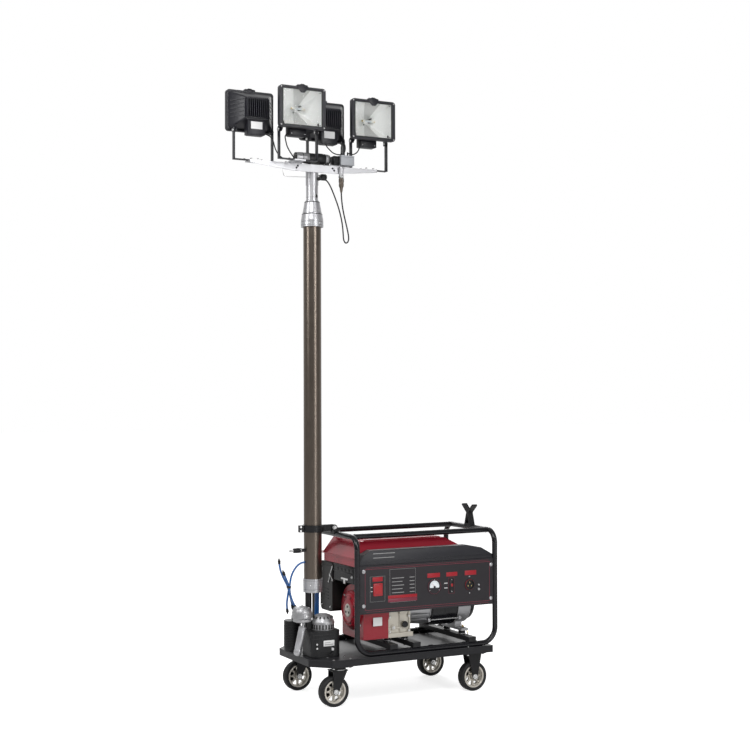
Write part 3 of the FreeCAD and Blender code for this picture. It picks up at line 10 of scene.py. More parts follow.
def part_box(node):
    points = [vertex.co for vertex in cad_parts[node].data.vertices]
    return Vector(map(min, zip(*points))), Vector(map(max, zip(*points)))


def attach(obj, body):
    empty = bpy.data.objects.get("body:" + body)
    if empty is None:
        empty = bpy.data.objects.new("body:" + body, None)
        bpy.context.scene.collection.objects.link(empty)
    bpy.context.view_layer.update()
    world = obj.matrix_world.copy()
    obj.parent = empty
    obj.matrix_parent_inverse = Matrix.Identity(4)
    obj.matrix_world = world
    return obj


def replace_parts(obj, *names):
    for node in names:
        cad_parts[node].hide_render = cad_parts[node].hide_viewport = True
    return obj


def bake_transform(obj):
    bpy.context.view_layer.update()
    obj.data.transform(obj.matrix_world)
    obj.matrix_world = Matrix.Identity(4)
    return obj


bl_info = {
    "name": "Mobile light tower",
    "version": (1, 0, 0),
    "blender": (4, 5, 0),
    "location": "View3D > Sidebar > Light tower",
    "description": "Builds the looks of a mobile light tower round its fixed frame",
    "category": "Object",
}

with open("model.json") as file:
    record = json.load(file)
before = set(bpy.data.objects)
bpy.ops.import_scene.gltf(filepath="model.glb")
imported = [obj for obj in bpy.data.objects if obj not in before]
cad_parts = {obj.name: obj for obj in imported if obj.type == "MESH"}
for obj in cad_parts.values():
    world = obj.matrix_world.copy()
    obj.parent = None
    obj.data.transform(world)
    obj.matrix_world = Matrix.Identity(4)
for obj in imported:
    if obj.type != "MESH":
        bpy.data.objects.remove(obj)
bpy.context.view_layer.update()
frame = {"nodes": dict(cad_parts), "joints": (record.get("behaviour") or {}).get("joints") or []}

MM = 0.001
X, Y, Z = Vector((1, 0, 0)), Vector((0, 1, 0)), Vector((0, 0, 1))
JOINTS = {joint["name"]: joint for joint in frame["joints"]}


# Places read from the frame

def pivot(joint_name):
    """A joint's point, in millimetres."""
    return Vector(JOINTS[joint_name]["pos_m"]) / MM


def span(node):
    """A node's lowest and highest corner, in millimetres."""
    low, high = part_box(node)
    return low / MM, high / MM


def centre(node):
    """The middle of a node's box, in millimetres."""
    low, high = span(node)
    return (low + high) / 2


MAST = Vector((centre("mast_tube").x, 0, 0))
DECK_TOP = span("deck_plate")[1].z
BAR_TOP = span("light_bar")[1].z
PANEL_FRONT = span("control_panel")[0].y
SHAFT = Vector((0, -79, 438))  # a point of the engine's and alternator's common axis
CROSSBARS = (84, 214, 538)  # middles of the bars under the engine and the alternator
LAMPS = ("back_outer", "front_inner", "back_inner", "front_outer")
CORNERS = (("left", "front"), ("left", "back"), ("right", "front"), ("right", "back"))


def way_round(axis, degrees):
    """The unit vector at an angle round an axis: from +Y about X, from +X about Y and Z."""
    first, second = {"X": (Y, Z), "Y": (X, Z), "Z": (X, Y)}[axis]
    angle = math.radians(degrees)
    return first * math.cos(angle) + second * math.sin(angle)


# Sizes and colours that a user would change

class TowerSizes(bpy.types.PropertyGroup):
    """Fine sizes that the frame doesn't hold."""

    cable: bpy.props.FloatProperty(name="Cable", description="Diameter of the cable at the head",
                                   default=0.007, unit="LENGTH")
    lead: bpy.props.FloatProperty(name="Lead", description="Diameter of a lamp's lead",
                                  default=0.006, unit="LENGTH")
    hose: bpy.props.FloatProperty(name="Hose", description="Diameter of one hose under the mast",
                                  default=0.0125, unit="LENGTH")
    spare_hose: bpy.props.FloatProperty(name="Spare hose",
                                        description="Diameter of the hoses tied beside the mast",
                                        default=0.010, unit="LENGTH")
    fin_gap: bpy.props.FloatProperty(name="Fin gap",
                                     description="Spacing of the compressor's cooling fins",
                                     default=0.008, unit="LENGTH")


class TowerColours(bpy.types.PropertyGroup):
    """Paint and plastic colours."""

    tank: bpy.props.FloatVectorProperty(name="Tank", description="Fuel tank paint",
                                        default=(0.30, 0.007, 0.022), subtype="COLOR")
    engine: bpy.props.FloatVectorProperty(name="Engine",
                                          description="Fan housing and starter paint",
                                          default=(0.25, 0.004, 0.014), subtype="COLOR")
    mast: bpy.props.FloatVectorProperty(name="Mast", description="Bronze anodising",
                                        default=(0.142, 0.118, 0.099), subtype="COLOR")
    hose: bpy.props.FloatVectorProperty(name="Hose", description="Air hose",
                                        default=(0.012, 0.085, 0.27), subtype="COLOR")
    panel: bpy.props.FloatVectorProperty(name="Panel", description="Control panel",
                                         default=(0.017, 0.015, 0.018), subtype="COLOR")


# Shader node groups shared by the finishes

def group_sockets(group, inputs, outputs):
    """Add named sockets and return the group's input and output nodes."""
    for name, kind, default in inputs:
        socket = group.interface.new_socket(name=name, in_out="INPUT", socket_type=kind)
        socket.default_value = default
    for name, kind in outputs:
        group.interface.new_socket(name=name, in_out="OUTPUT", socket_type=kind)
    return group.nodes.new("NodeGroupInput"), group.nodes.new("NodeGroupOutput")


def math_node(tree, operation, *values):
    """A maths node's output, from numbers and from other nodes' outputs."""
    node = tree.nodes.new("ShaderNodeMath")
    node.operation = operation
    for socket, value in zip(node.inputs, values):
        if isinstance(value, bpy.types.NodeSocket):
            tree.links.new(value, socket)
        else:
            socket.default_value = value
    return node.outputs[0]


def ranged(tree, value, **limits):
    """A value mapped to a range; the limits not given stay 0 and 1."""
    node = tree.nodes.new("ShaderNodeMapRange")
    tree.links.new(value, node.inputs["Value"])
    for name, limit in limits.items():
        node.inputs[name.replace("_", " ").title()].default_value = limit
    return node.outputs["Result"]


def blended(tree, kind, factor, first, second):
    """Two numbers or colours mixed by a factor."""
    node = tree.nodes.new("ShaderNodeMix")
    node.data_type = kind
    for name, value in (("Factor", factor), ("A", first), ("B", second)):
        tree.links.new(value, node.inputs[name])
    return node.outputs["Result"]


def noise(tree, place, scale, detail):
    """Noise over a place; the scale is a number or another node's output."""
    node = tree.nodes.new("ShaderNodeTexNoise")
    tree.links.new(place, node.inputs["Vector"])
    node.inputs["Detail"].default_value = detail
    if isinstance(scale, bpy.types.NodeSocket):
        tree.links.new(scale, node.inputs["Scale"])
    else:
        node.inputs["Scale"].default_value = scale
    return node


def wear_group():
    """Worn patches and settled dust over a colour."""
    group = bpy.data.node_groups.new("Wear and dust", "ShaderNodeTree")
    number, colour = "NodeSocketFloat", "NodeSocketColor"
    entry, leave = group_sockets(group,
                                 (("Colour", colour, (0.5, 0.5, 0.5, 1)),
                                  ("Worn colour", colour, (0.6, 0.6, 0.6, 1)),
                                  ("Dust colour", colour, (0.32, 0.30, 0.27, 1)),
                                  ("Wear", number, 0.3), ("Dust", number, 0.2),
                                  ("Scale", number, 20.0), ("Smooth roughness", number, 0.4)),
                                 (("Colour", colour), ("Roughness", number)))
    given = entry.outputs
    place = group.nodes.new("ShaderNodeTexCoord").outputs["Object"]
    patches = noise(group, place, given["Scale"], 8)
    patches.inputs["Roughness"].default_value = 0.65
    patch = patches.outputs["Fac"]
    worn = math_node(group, "MULTIPLY", ranged(group, patch, from_min=0.56, from_max=0.74),
                     given["Wear"])
    painted = blended(group, "RGBA", worn, given["Colour"], given["Worn colour"])
    split = group.nodes.new("ShaderNodeSeparateXYZ")
    facing = group.nodes.new("ShaderNodeNewGeometry").outputs["Normal"]
    group.links.new(facing, split.inputs[0])
    upward = ranged(group, split.outputs["Z"], from_min=0.2)
    dusty = math_node(group, "MULTIPLY", math_node(group, "MULTIPLY", upward, patch), given["Dust"])
    covered = blended(group, "RGBA", dusty, painted, given["Dust colour"])
    uneven = math_node(group, "MULTIPLY_ADD", patch, 0.16, given["Smooth roughness"])
    total = math_node(group, "ADD", uneven, dusty)
    total.node.use_clamp = True
    group.links.new(covered, leave.inputs["Colour"])
    group.links.new(total, leave.inputs["Roughness"])


def grain_group():
    """Height of a cast, moulded or brushed surface, stretched by a vector."""
    group = bpy.data.node_groups.new("Surface grain", "ShaderNodeTree")
    entry, leave = group_sockets(group, (
        ("Scale", "NodeSocketFloat", 400.0), ("Stretch", "NodeSocketVector", (1, 1, 1)),
        ("Lumps", "NodeSocketFloat", 0.2)), (("Height", "NodeSocketFloat"),))
    place = group.nodes.new("ShaderNodeTexCoord").outputs["Object"]
    stretch = group.nodes.new("ShaderNodeVectorMath")
    stretch.operation = "MULTIPLY"
    group.links.new(place, stretch.inputs[0])
    group.links.new(entry.outputs["Stretch"], stretch.inputs[1])
    fine = noise(group, stretch.outputs[0], entry.outputs["Scale"], 4)
    coarse = noise(group, place, 30, 2)
    height = blended(group, "FLOAT", entry.outputs["Lumps"], fine.outputs["Fac"],
                     coarse.outputs["Fac"])
    group.links.new(height, leave.inputs["Height"])


FINISHES = {}


def finish(name, colour, roughness, metallic=0.0, wear=0.0, worn=(0.5, 0.5, 0.5), dust=0.0,
           patch_scale=14.0, grain_scale=420.0, grain=0.12, stretch=(1, 1, 1), lumps=0.15, coat=0.0,
           specular=0.5):
    """A painted, cast, moulded or brushed finish with wear, dust and grain."""
    material = bpy.data.materials.new(name)
    material.use_nodes = True
    nodes, links = material.node_tree.nodes, material.node_tree.links
    shader = nodes["Principled BSDF"]
    surface = nodes.new("ShaderNodeGroup")
    surface.node_tree = bpy.data.node_groups["Wear and dust"]
    surface.inputs["Colour"].default_value = (*colour, 1)
    surface.inputs["Worn colour"].default_value = (*worn, 1)
    surface.inputs["Wear"].default_value = wear
    surface.inputs["Dust"].default_value = dust
    surface.inputs["Scale"].default_value = patch_scale
    surface.inputs["Smooth roughness"].default_value = max(roughness - 0.08, 0.02)
    links.new(surface.outputs["Colour"], shader.inputs["Base Color"])
    links.new(surface.outputs["Roughness"], shader.inputs["Roughness"])
    skin = nodes.new("ShaderNodeGroup")
    skin.node_tree = bpy.data.node_groups["Surface grain"]
    skin.inputs["Scale"].default_value = grain_scale
    skin.inputs["Stretch"].default_value = stretch
    skin.inputs["Lumps"].default_value = lumps
    bump = nodes.new("ShaderNodeBump")
    bump.inputs["Strength"].default_value = grain
    bump.inputs["Distance"].default_value = 0.001
    links.new(skin.outputs["Height"], bump.inputs["Height"])
    links.new(bump.outputs["Normal"], shader.inputs["Normal"])
    shader.inputs["Metallic"].default_value = metallic
    shader.inputs["Coat Weight"].default_value = coat
    shader.inputs["Coat Roughness"].default_value = 0.08
    shader.inputs["Specular IOR Level"].default_value = specular
    FINISHES[name] = material
    return material


def clear_finish(name, colour, roughness):
    """Glass or clear plastic, faintly uneven."""
    material = finish(name, colour, roughness, grain=0.02, patch_scale=6)
    shader = material.node_tree.nodes["Principled BSDF"]
    shader.inputs["Transmission Weight"].default_value = 1.0
    shader.inputs["IOR"].default_value = 1.46
    return material


def make_finishes(colours):
    """Every finish, by the name of the record's slot or of the small part that has it."""
    black_steel = dict(wear=0.10, worn=(0.05, 0.05, 0.05), dust=0.02, specular=0.28)
    finish("deck_black", (0.009, 0.009, 0.011), 0.42, grain=0.25, **black_steel)
    finish("deck_top", (0.013, 0.013, 0.016), 0.40, wear=0.2, worn=(0.05, 0.05, 0.055), dust=0.03,
           grain=0.05, specular=0.45)
    finish("tube_black", (0.005, 0.005, 0.007), 0.24, coat=0.12, grain=0.04, dust=0.02,
           specular=0.3)
    finish("bracket_black", (0.008, 0.008, 0.009), 0.40, grain=0.2, **black_steel)
    finish("fork_black", (0.010, 0.010, 0.011), 0.38, metallic=0.3, grain=0.15, **black_steel)
    finish("panel_black", tuple(colours.panel), 0.42, grain=0.2, grain_scale=900, dust=0.02,
           specular=0.3)
    finish("brow_grey", (0.019, 0.019, 0.023), 0.42, grain=0.3, grain_scale=700, dust=0.02,
           specular=0.35)
    finish("engine_casting", (0.50, 0.47, 0.41), 0.48, metallic=0.75, wear=0.35,
           worn=(0.62, 0.58, 0.50), grain=0.5, grain_scale=260, lumps=0.4)
    finish("engine_red", tuple(colours.engine), 0.30, coat=0.25, grain=0.05, dust=0.01,
           specular=0.35)
    finish("tank_red", tuple(colours.tank), 0.24, metallic=0.35, coat=0.45, grain=0.03, dust=0.01)
    finish("muffler_steel", (0.014, 0.013, 0.013), 0.45, metallic=0.2, wear=0.3,
           worn=(0.05, 0.038, 0.03))
    finish("black_plastic", (0.008, 0.008, 0.009), 0.40, grain=0.3, grain_scale=800, dust=0.02,
           specular=0.3)
    finish("box_grey", (0.30, 0.31, 0.33), 0.45, grain=0.3, grain_scale=600, dust=0.05)
    finish("control_plastic", (0.34, 0.008, 0.012), 0.3, grain=0.1)
    finish("grey_casting", (0.36, 0.36, 0.37), 0.42, metallic=0.8, wear=0.3, worn=(0.5, 0.5, 0.5),
           grain=0.45, grain_scale=300, lumps=0.4)
    finish("hose_blue", tuple(colours.hose), 0.25, coat=0.3, grain=0.05)
    finish("mast_bronze", tuple(colours.mast), 0.31, metallic=0.95, grain=0.05, grain_scale=700,
           stretch=(1, 1, 0.02), wear=0.08, worn=(0.24, 0.20, 0.17), lumps=0.02)
    finish("silver", (0.44, 0.44, 0.455), 0.38, metallic=0.8, grain=0.05, grain_scale=800,
           stretch=(1, 1, 0.05), wear=0.05, worn=(0.58, 0.58, 0.59), lumps=0.04)
    finish("lamp_black", (0.010, 0.010, 0.014), 0.38, grain=0.3, grain_scale=600, dust=0.02,
           specular=0.35)
    finish("cable_black", (0.008, 0.008, 0.009), 0.45, grain=0.1, specular=0.3)
    finish("tyre", (0.012, 0.012, 0.013), 0.6, grain=0.4, grain_scale=500, dust=0.04, specular=0.3,
           wear=0.2, worn=(0.04, 0.04, 0.04))
    finish("wheel_silver", (0.52, 0.49, 0.44), 0.36, metallic=0.7, grain=0.25, wear=0.25,
           worn=(0.4, 0.36, 0.31))
    finish("zinc", (0.62, 0.62, 0.62), 0.28, metallic=0.95, grain=0.1, wear=0.2,
           worn=(0.5, 0.49, 0.46))
    finish("brass", (0.55, 0.42, 0.18), 0.32, metallic=0.9, grain=0.1)
    finish("reflector", (0.92, 0.92, 0.91), 0.45, metallic=0.45, grain=0.35, grain_scale=200,
           lumps=0.0)
    # A darker copy of the reflector: painted shade for the middle of the reflector's top and bottom
    # walls
    finish("reflector_painted_shade", (0.62, 0.62, 0.61), 0.4, metallic=0.55, grain=0.35, grain_scale=200,
           lumps=0.0)
    finish("ceramic", (0.78, 0.76, 0.70), 0.35, grain=0.1)
    finish("label_white", (0.66, 0.66, 0.66), 0.5, grain=0.05)
    finish("label_red", (0.30, 0.010, 0.018), 0.4, grain=0.05, specular=0.3)
    # Dark red for printed stripes and lines; round the main switch's rocker it is painted groove
    # shade
    finish("red_stripe_and_groove_shade", (0.16, 0.012, 0.03), 0.4, grain=0.05)
    finish("print_grey", (0.28, 0.28, 0.28), 0.5, grain=0.05)
    finish("dial_white", (0.72, 0.76, 0.78), 0.35, grain=0.02)
    finish("rubber", (0.013, 0.013, 0.013), 0.6, grain=0.3)
    clear_finish("lamp_glass", (0.985, 0.995, 0.99), 0.03)
    clear_finish("clear_cover", (0.95, 0.97, 0.98), 0.05)


# Mesh building

WIRE_SIDES = 8
SLOT_SPREAD = 0.09  # half a slot's width over its distance from the middle
SAME_POINT = 1e-6
SOFT_BEND = 0.8  # radians between faces, from which a slab's rim is rounded


class Piece:
    """A mesh gathered from simple forms in millimetres, each with its own finish."""

    def __init__(self, name, body, slot, turn=None):
        self.name, self.body, self.slot = name, body, slot
        self.turn = turn or Matrix.Identity(4)
        self.points, self.faces, self.inks, self.finishes = [], [], [], []

    def number_of(self, name):
        """A finish's number in this piece."""
        if name not in self.finishes:
            self.finishes.append(name)
        return self.finishes.index(name)

    def add(self, points, faces, ink=None):
        """Add faces over points, in a finish or else in the piece's own."""
        start = len(self.points)
        self.points += [Vector(point) for point in points]
        self.faces += [[start + index for index in face] for face in faces]
        self.inks += [self.number_of(ink or self.slot)] * len(faces)

    def take(self, mesh, ink):
        """Add a bmesh and free it."""
        mesh.verts.ensure_lookup_table()
        mesh.verts.index_update()
        self.add([vert.co for vert in mesh.verts],
                 [[vert.index for vert in face.verts] for face in mesh.faces], ink)
        mesh.free()

    def box(self, low, high, edge=1.2, turn=None, ink=None):
        """A box with rounded edges between two corners, turned about its middle if asked."""
        low, high = Vector(low), Vector(high)
        size = high - low
        mesh = bmesh.new()
        bmesh.ops.create_cube(mesh, size=1, matrix=Matrix.Diagonal((*size, 1)))
        edge = min(edge, min(size) * 0.45)
        if edge > 0:
            bmesh.ops.bevel(mesh, geom=list(mesh.edges), offset=edge, segments=2, affect="EDGES",
                            profile=0.5)
        place = Matrix.Translation((low + high) / 2)
        mesh.transform(place @ (turn.to_4x4() if turn else Matrix.Identity(4)))
        self.take(mesh, ink)

    def lathe(self, origin, axis, profile, sides=48, ink=None):
        """Turn a profile of (radius, distance along the axis) about an axis."""
        origin, axis = Vector(origin), Vector(axis).normalized()
        across = axis.orthogonal().normalized()
        other = axis.cross(across)
        points, faces, rows = [], [], []
        for radius, along in profile:
            middle = origin + axis * along
            if radius < 1e-4:
                rows.append([len(points)] * sides)
                points.append(middle)
                continue
            rows.append(list(range(len(points), len(points) + sides)))
            for step in range(sides):
                angle = 2 * math.pi * step / sides
                points.append(middle + across * radius * math.cos(angle)
                              + other * radius * math.sin(angle))
        for first, second in zip(rows, rows[1:]):
            for step in range(sides):
                after = (step + 1) % sides
                quad = [first[step], first[after], second[after], second[step]]
                face = list(dict.fromkeys(quad))
                if len(face) > 2:
                    faces.append(face)
        for row, flip in ((rows[0], True), (rows[-1], False)):
            if row[0] != row[1]:
                faces.append(row[::-1] if flip else row)
        self.add(points, faces, ink)

    def rod(self, start, end, radius, sides=20, edge=0.0, end_radius=None, ink=None):
        """A cylinder or cone with softened rims."""
        start, end = Vector(start), Vector(end)
        length = (end - start).length
        last = radius if end_radius is None else end_radius
        edge = min(edge, radius * 0.45, last * 0.45, length * 0.45)
        profile = [(radius - edge, 0), (radius, edge), (last, length - edge), (last - edge, length)]
        if edge <= 0:
            profile = [(radius, 0), (last, length)]
        self.lathe(start, end - start, profile, sides, ink)

    def ring(self, start, end, outer, inner, sides=40, edge=0.8, ink=None):
        """A pipe between two points."""
        start, end = Vector(start), Vector(end)
        length = (end - start).length
        profile = [(inner, edge), (inner + edge, 0), (outer - edge, 0), (outer, edge),
                   (outer, length - edge), (outer - edge, length), (inner + edge, length),
                   (inner, length - edge)]
        self.loop_lathe(start, end - start, profile, sides, ink)

    def loop_lathe(self, origin, axis, profile, sides=48, ink=None):
        """Turn a closed profile about an axis."""
        origin, axis = Vector(origin), Vector(axis).normalized()
        across = axis.orthogonal().normalized()
        other = axis.cross(across)
        count = len(profile)
        points, faces = [], []
        for step in range(sides):
            angle = 2 * math.pi * step / sides
            outward = across * math.cos(angle) + other * math.sin(angle)
            points += [origin + axis * along + outward * radius for radius, along in profile]
        for step in range(sides):
            here, after = step * count, (step + 1) % sides * count
            for index in range(count):
                following = (index + 1) % count
                faces.append([here + index, after + index, after + following, here + following])
        self.add(points, faces, ink)

    def loft(self, loops, closed_ends=True, ink=None):
        """Join loops of as many points each, in order."""
        points = [point for loop in loops for point in loop]
        count = len(loops[0])
        faces = []
        for row in range(len(loops) - 1):
            for index in range(count):
                following = (index + 1) % count
                faces.append([row * count + index, row * count + following,
                              (row + 1) * count + following, (row + 1) * count + index])
        if closed_ends:
            faces.append(list(range(count))[::-1])
            faces.append(list(range((len(loops) - 1) * count, len(loops) * count)))
        self.add(points, faces, ink)

    def stub(self, seat, way, length, radius, sides=20, edge=0.0, ink=None):
        """A short rod from its seat."""
        self.rod(seat, Vector(seat) + way * length, radius, sides, edge, ink=ink)

    def torus(self, middle, axis, major, minor, sides=32, ink=None):
        """A ring of round wire, such as a weld bead."""
        profile = [(major + minor * math.cos(2 * math.pi * step / WIRE_SIDES),
                    minor * math.sin(2 * math.pi * step / WIRE_SIDES))
                   for step in range(WIRE_SIDES)]
        self.loop_lathe(middle, axis, profile, sides, ink)

    def tube(self, path, radius, sides=10, ink=None):
        """A round tube along points, with closed ends."""
        path = [Vector(point) for point in path]
        loops = []
        side = None
        for index, point in enumerate(path):
            ahead = path[min(index + 1, len(path) - 1)] - path[max(index - 1, 0)]
            ahead.normalize()
            side = ahead.orthogonal() if side is None else side - ahead * side.dot(ahead)
            side.normalize()
            other = ahead.cross(side)
            angles = [2 * math.pi * step / sides for step in range(sides)]
            loops.append([point + side * radius * math.cos(angle) + other * radius * math.sin(angle)
                          for angle in angles])
        self.loft(loops, ink=ink)

    def slab(self, outer, holes, depth, bevel=0.0, ink=None):
        """A flat plate: a planar outline with holes, thickened by the depth vector."""
        depth = Vector(depth)
        loops = [[Vector(point) for point in loop] for loop in [outer] + list(holes)]
        flat = [point for loop in loops for point in loop]
        count = len(flat)
        triangles = tessellate_polygon(loops)
        faces = [list(triangle) for triangle in triangles]
        faces += [[index + count for index in triangle][::-1] for triangle in triangles]
        start = 0
        for loop in loops:
            size = len(loop)
            for index in range(size):
                following = (index + 1) % size
                faces.append([start + index, start + following, start + following + count,
                              start + index + count])
            start += size
        mesh = bmesh.new()
        verts = [mesh.verts.new(point) for point in flat + [point + depth for point in flat]]
        for face in faces:
            try:
                mesh.faces.new([verts[index] for index in face])
            except ValueError:
                continue
        bmesh.ops.recalc_face_normals(mesh, faces=list(mesh.faces))
        bmesh.ops.dissolve_limit(mesh, angle_limit=0.01, verts=list(mesh.verts),
                                 edges=list(mesh.edges))
        if bevel > 0:
            rims = [edge for edge in mesh.edges if len(edge.link_faces) == 2
                    and edge.calc_face_angle(0) > SOFT_BEND]
            bmesh.ops.bevel(mesh, geom=rims, offset=bevel, segments=2, affect="EDGES", profile=0.5)
        self.take(mesh, ink)

    def bolt(self, seat, axis, size, washer=True, round_head=False, ink="zinc"):
        """A hexagon bolt or a domed screw on a seat."""
        seat, axis = Vector(seat), Vector(axis).normalized()
        if washer:
            self.rod(seat, seat + axis * size * 0.16, size, 20, size * 0.04, ink=ink)
            seat = seat + axis * size * 0.16
        if round_head:
            self.lathe(seat, axis,
                       [(size * 0.8, 0), (size * 0.78, size * 0.2), (size * 0.55, size * 0.45),
                        (size * 0.22, size * 0.55), (size * 0.2, size * 0.38), (0, size * 0.36)],
                       16, ink)
        else:
            self.lathe(seat, axis,
                       [(size * 0.82, 0), (size * 0.82, size * 0.5), (size * 0.72, size * 0.62),
                        (0, size * 0.62)], 6, ink)

    def screw(self, seat, axis, size, ink="zinc"):
        """A domed screw without a washer."""
        self.bolt(seat, axis, size, False, True, ink)

    def build(self, smooth_angle=32):
        """Make the object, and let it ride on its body."""
        data = bpy.data.meshes.new(self.name)
        data.from_pydata([(self.turn @ point) * MM for point in self.points], [], self.faces)
        for name in self.finishes:
            data.materials.append(FINISHES[name])
        data.polygons.foreach_set("material_index", self.inks)
        mesh = bmesh.new()
        mesh.from_mesh(data)
        bmesh.ops.remove_doubles(mesh, verts=list(mesh.verts), dist=SAME_POINT)
        bmesh.ops.recalc_face_normals(mesh, faces=list(mesh.faces))
        limit = math.radians(smooth_angle)
        for face in mesh.faces:
            face.smooth = True
        for edge in mesh.edges:
            if len(edge.link_faces) != 2 or edge.calc_face_angle(0) > limit:
                edge.smooth = False
        mesh.to_mesh(data)
        mesh.free()
        thing = bpy.data.objects.new(self.name, data)
        bpy.context.scene.collection.objects.link(thing)
        if self.body:
            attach(thing, self.body)
        return thing


def rounded_loop(width, height, radius, level, steps=6, middle=(0, 0)):
    """A rounded rectangle in XZ at a Y level."""
    loop = []
    radius = min(radius, width / 2 - 0.01, height / 2 - 0.01)
    for number, (side_x, side_z) in enumerate(((1, 1), (-1, 1), (-1, -1), (1, -1))):
        corner_x = middle[0] + side_x * (width / 2 - radius)
        corner_z = middle[1] + side_z * (height / 2 - radius)
        for step in range(steps + 1):
            angle = math.pi / 2 * (number + step / steps)
            loop.append(Vector((corner_x + radius * math.cos(angle), level,
                                corner_z + radius * math.sin(angle))))
    return loop


def flat_loop(width, depth, radius, level, middle, steps=6):
    """A rounded rectangle in XY at a height."""
    return [Vector((point.x, point.z, level))
            for point in rounded_loop(width, depth, radius, 0, steps, (middle[0], middle[1]))]


def circle_points(middle, axis, radius, sides=24):
    """Points on a circle."""
    axis = Vector(axis).normalized()
    across = axis.orthogonal().normalized()
    other = axis.cross(across)
    angles = [2 * math.pi * step / sides for step in range(sides)]
    return [Vector(middle) + across * radius * math.cos(angle) + other * radius * math.sin(angle)
            for angle in angles]


def slot_loops(middle, way, ends, proud, deep):
    """Both ends of a slot that widens outward, on a face towards -X: (distance, drop) each."""
    across = X.cross(way)
    loops = []
    for distance, drop in ends:
        spot = middle + way * distance + X * drop
        wide = across * distance * SLOT_SPREAD
        loops.append([spot - wide - X * proud, spot + wide - X * proud, spot + wide + X * deep,
                      spot - wide + X * deep])
    return loops


def dress(node, name):
    """Give a CAD node a finish."""
    slots = frame["nodes"][node].data.materials
    slots.clear()
    slots.append(FINISHES[name])


def nurbs(points, name):
    """A smooth curve object with these points, in millimetres, as its control points."""
    curve = bpy.data.curves.new(name, "CURVE")
    curve.dimensions = "3D"
    curve.resolution_u = 10
    spline = curve.splines.new("NURBS")
    spline.points.add(len(points) - 1)
    for point, place in zip(spline.points, points):
        point.co = (*(Vector(place) * MM), 1)
    spline.order_u = 3
    spline.use_endpoint_u = True
    thing = bpy.data.objects.new(name, curve)
    bpy.context.scene.collection.objects.link(thing)
    return thing


def line_of(points):
    """Points along the smooth curve, in millimetres."""
    thing = nurbs(points, "line")
    bpy.context.view_layer.update()
    mesh = bpy.data.meshes.new_from_object(thing)
    line = [vert.co / MM for vert in mesh.vertices]
    bpy.data.objects.remove(thing)
    bpy.data.meshes.remove(mesh)
    return line


def round_cord(points, name, diameter, ink):
    """A smooth round cord; the diameter is in metres."""
    cord = nurbs(points, name)
    cord.data.bevel_depth = diameter / 2
    cord.data.bevel_resolution = 4
    cord.data.use_fill_caps = True
    cord.data.materials.append(FINISHES[ink])
    return cord


# Stage, light and camera

FLOOR_HALF = 60.0
FLOOR_GLOW = 0.74  # with the lamps' light on it, the floor then renders white
FLOOR_IN_METAL = 0.2  # how much of that glow shiny surfaces see
AMBIENT = 0.36
DARK_SIDE = 0.16  # what shiny surfaces see of the room behind the camera
SOFT_LAMPS = (  # name, place, aim, width, height, watts
    ("key", (-3.2, -4.2, 6.0), (-0.1, 0, 1.2), 2.6, 2.6, 240),
    ("strip", (1.3, -6.0, 2.3), (-0.1, 0, 1.4), 1.1, 4.6, 85),
    ("high_strip", (1.3, -6.0, 3.9), (-0.1, 0, 2.6), 1.2, 3.2, 75),
    ("side_strip", (-3.55, -0.4, 3.4), (-0.1, 0, 2.4), 0.8, 2.2, 55),
    ("rim", (2.5, 5.0, 4.5), (0, 0, 1.4), 2.5, 2.5, 90))
CAMERA_PLACE = (-3.076, -6.176, 1.486)
CAMERA_TURN = (27.34, 1.11, -0.17)  # yaw, pitch and roll in degrees
CAMERA_LENS = 64.81


def make_floor():
    """A pale matt floor that the camera and reflections see as white."""
    material = bpy.data.materials.new("floor_white")
    material.use_nodes = True
    tree = material.node_tree
    shader = tree.nodes["Principled BSDF"]
    shader.inputs["Base Color"].default_value = (0.8, 0.8, 0.8, 1)
    shader.inputs["Roughness"].default_value = 0.9
    shader.inputs["Specular IOR Level"].default_value = 0.1
    shader.inputs["Emission Color"].default_value = (1, 1, 1, 1)
    seen = tree.nodes.new("ShaderNodeLightPath").outputs
    dimmed = math_node(tree, "MULTIPLY", seen["Is Glossy Ray"], FLOOR_IN_METAL)
    direct = math_node(tree, "MAXIMUM", seen["Is Camera Ray"], dimmed)
    any_seen = math_node(tree, "MAXIMUM", direct, seen["Is Transmission Ray"])
    level = math_node(tree, "MULTIPLY", any_seen, FLOOR_GLOW)
    tree.links.new(level, shader.inputs["Emission Strength"])

    mesh = bpy.data.meshes.new("floor")
    corners = [(x * FLOOR_HALF, y * FLOOR_HALF, 0) for x, y in ((-1, -1), (1, -1), (1, 1), (-1, 1))]
    mesh.from_pydata(corners, [], [(0, 1, 2, 3)])
    mesh.materials.append(material)
    floor = bpy.data.objects.new("floor", mesh)
    bpy.context.scene.collection.objects.link(floor)


def make_room():
    """White surroundings; shiny surfaces see a room that is darker behind the camera."""
    world = bpy.data.worlds.new("studio")
    bpy.context.scene.world = world
    world.use_nodes = True
    tree = world.node_tree
    surround = tree.nodes["Background"]
    surround.inputs["Color"].default_value = (1, 1, 1, 1)
    seen = tree.nodes.new("ShaderNodeLightPath").outputs
    direct = math_node(tree, "MAXIMUM", seen["Is Camera Ray"], seen["Is Transmission Ray"])
    matt = math_node(tree, "SUBTRACT", 1.0, seen["Is Glossy Ray"])
    ambient = math_node(tree, "MULTIPLY", ranged(tree, direct, to_min=AMBIENT), matt)
    facing = tree.nodes.new("ShaderNodeVectorMath")
    facing.operation = "DOT_PRODUCT"
    facing.inputs[1].default_value = (0.459, 0.888, 0.0)
    way = tree.nodes.new("ShaderNodeTexCoord").outputs["Generated"]
    tree.links.new(way, facing.inputs[0])
    room = ranged(tree, facing.outputs["Value"], from_min=-0.35, from_max=0.9, to_min=DARK_SIDE)
    reflected = math_node(tree, "MULTIPLY", room, seen["Is Glossy Ray"])
    strength = math_node(tree, "MAXIMUM", ambient, reflected)
    tree.links.new(strength, surround.inputs["Strength"])


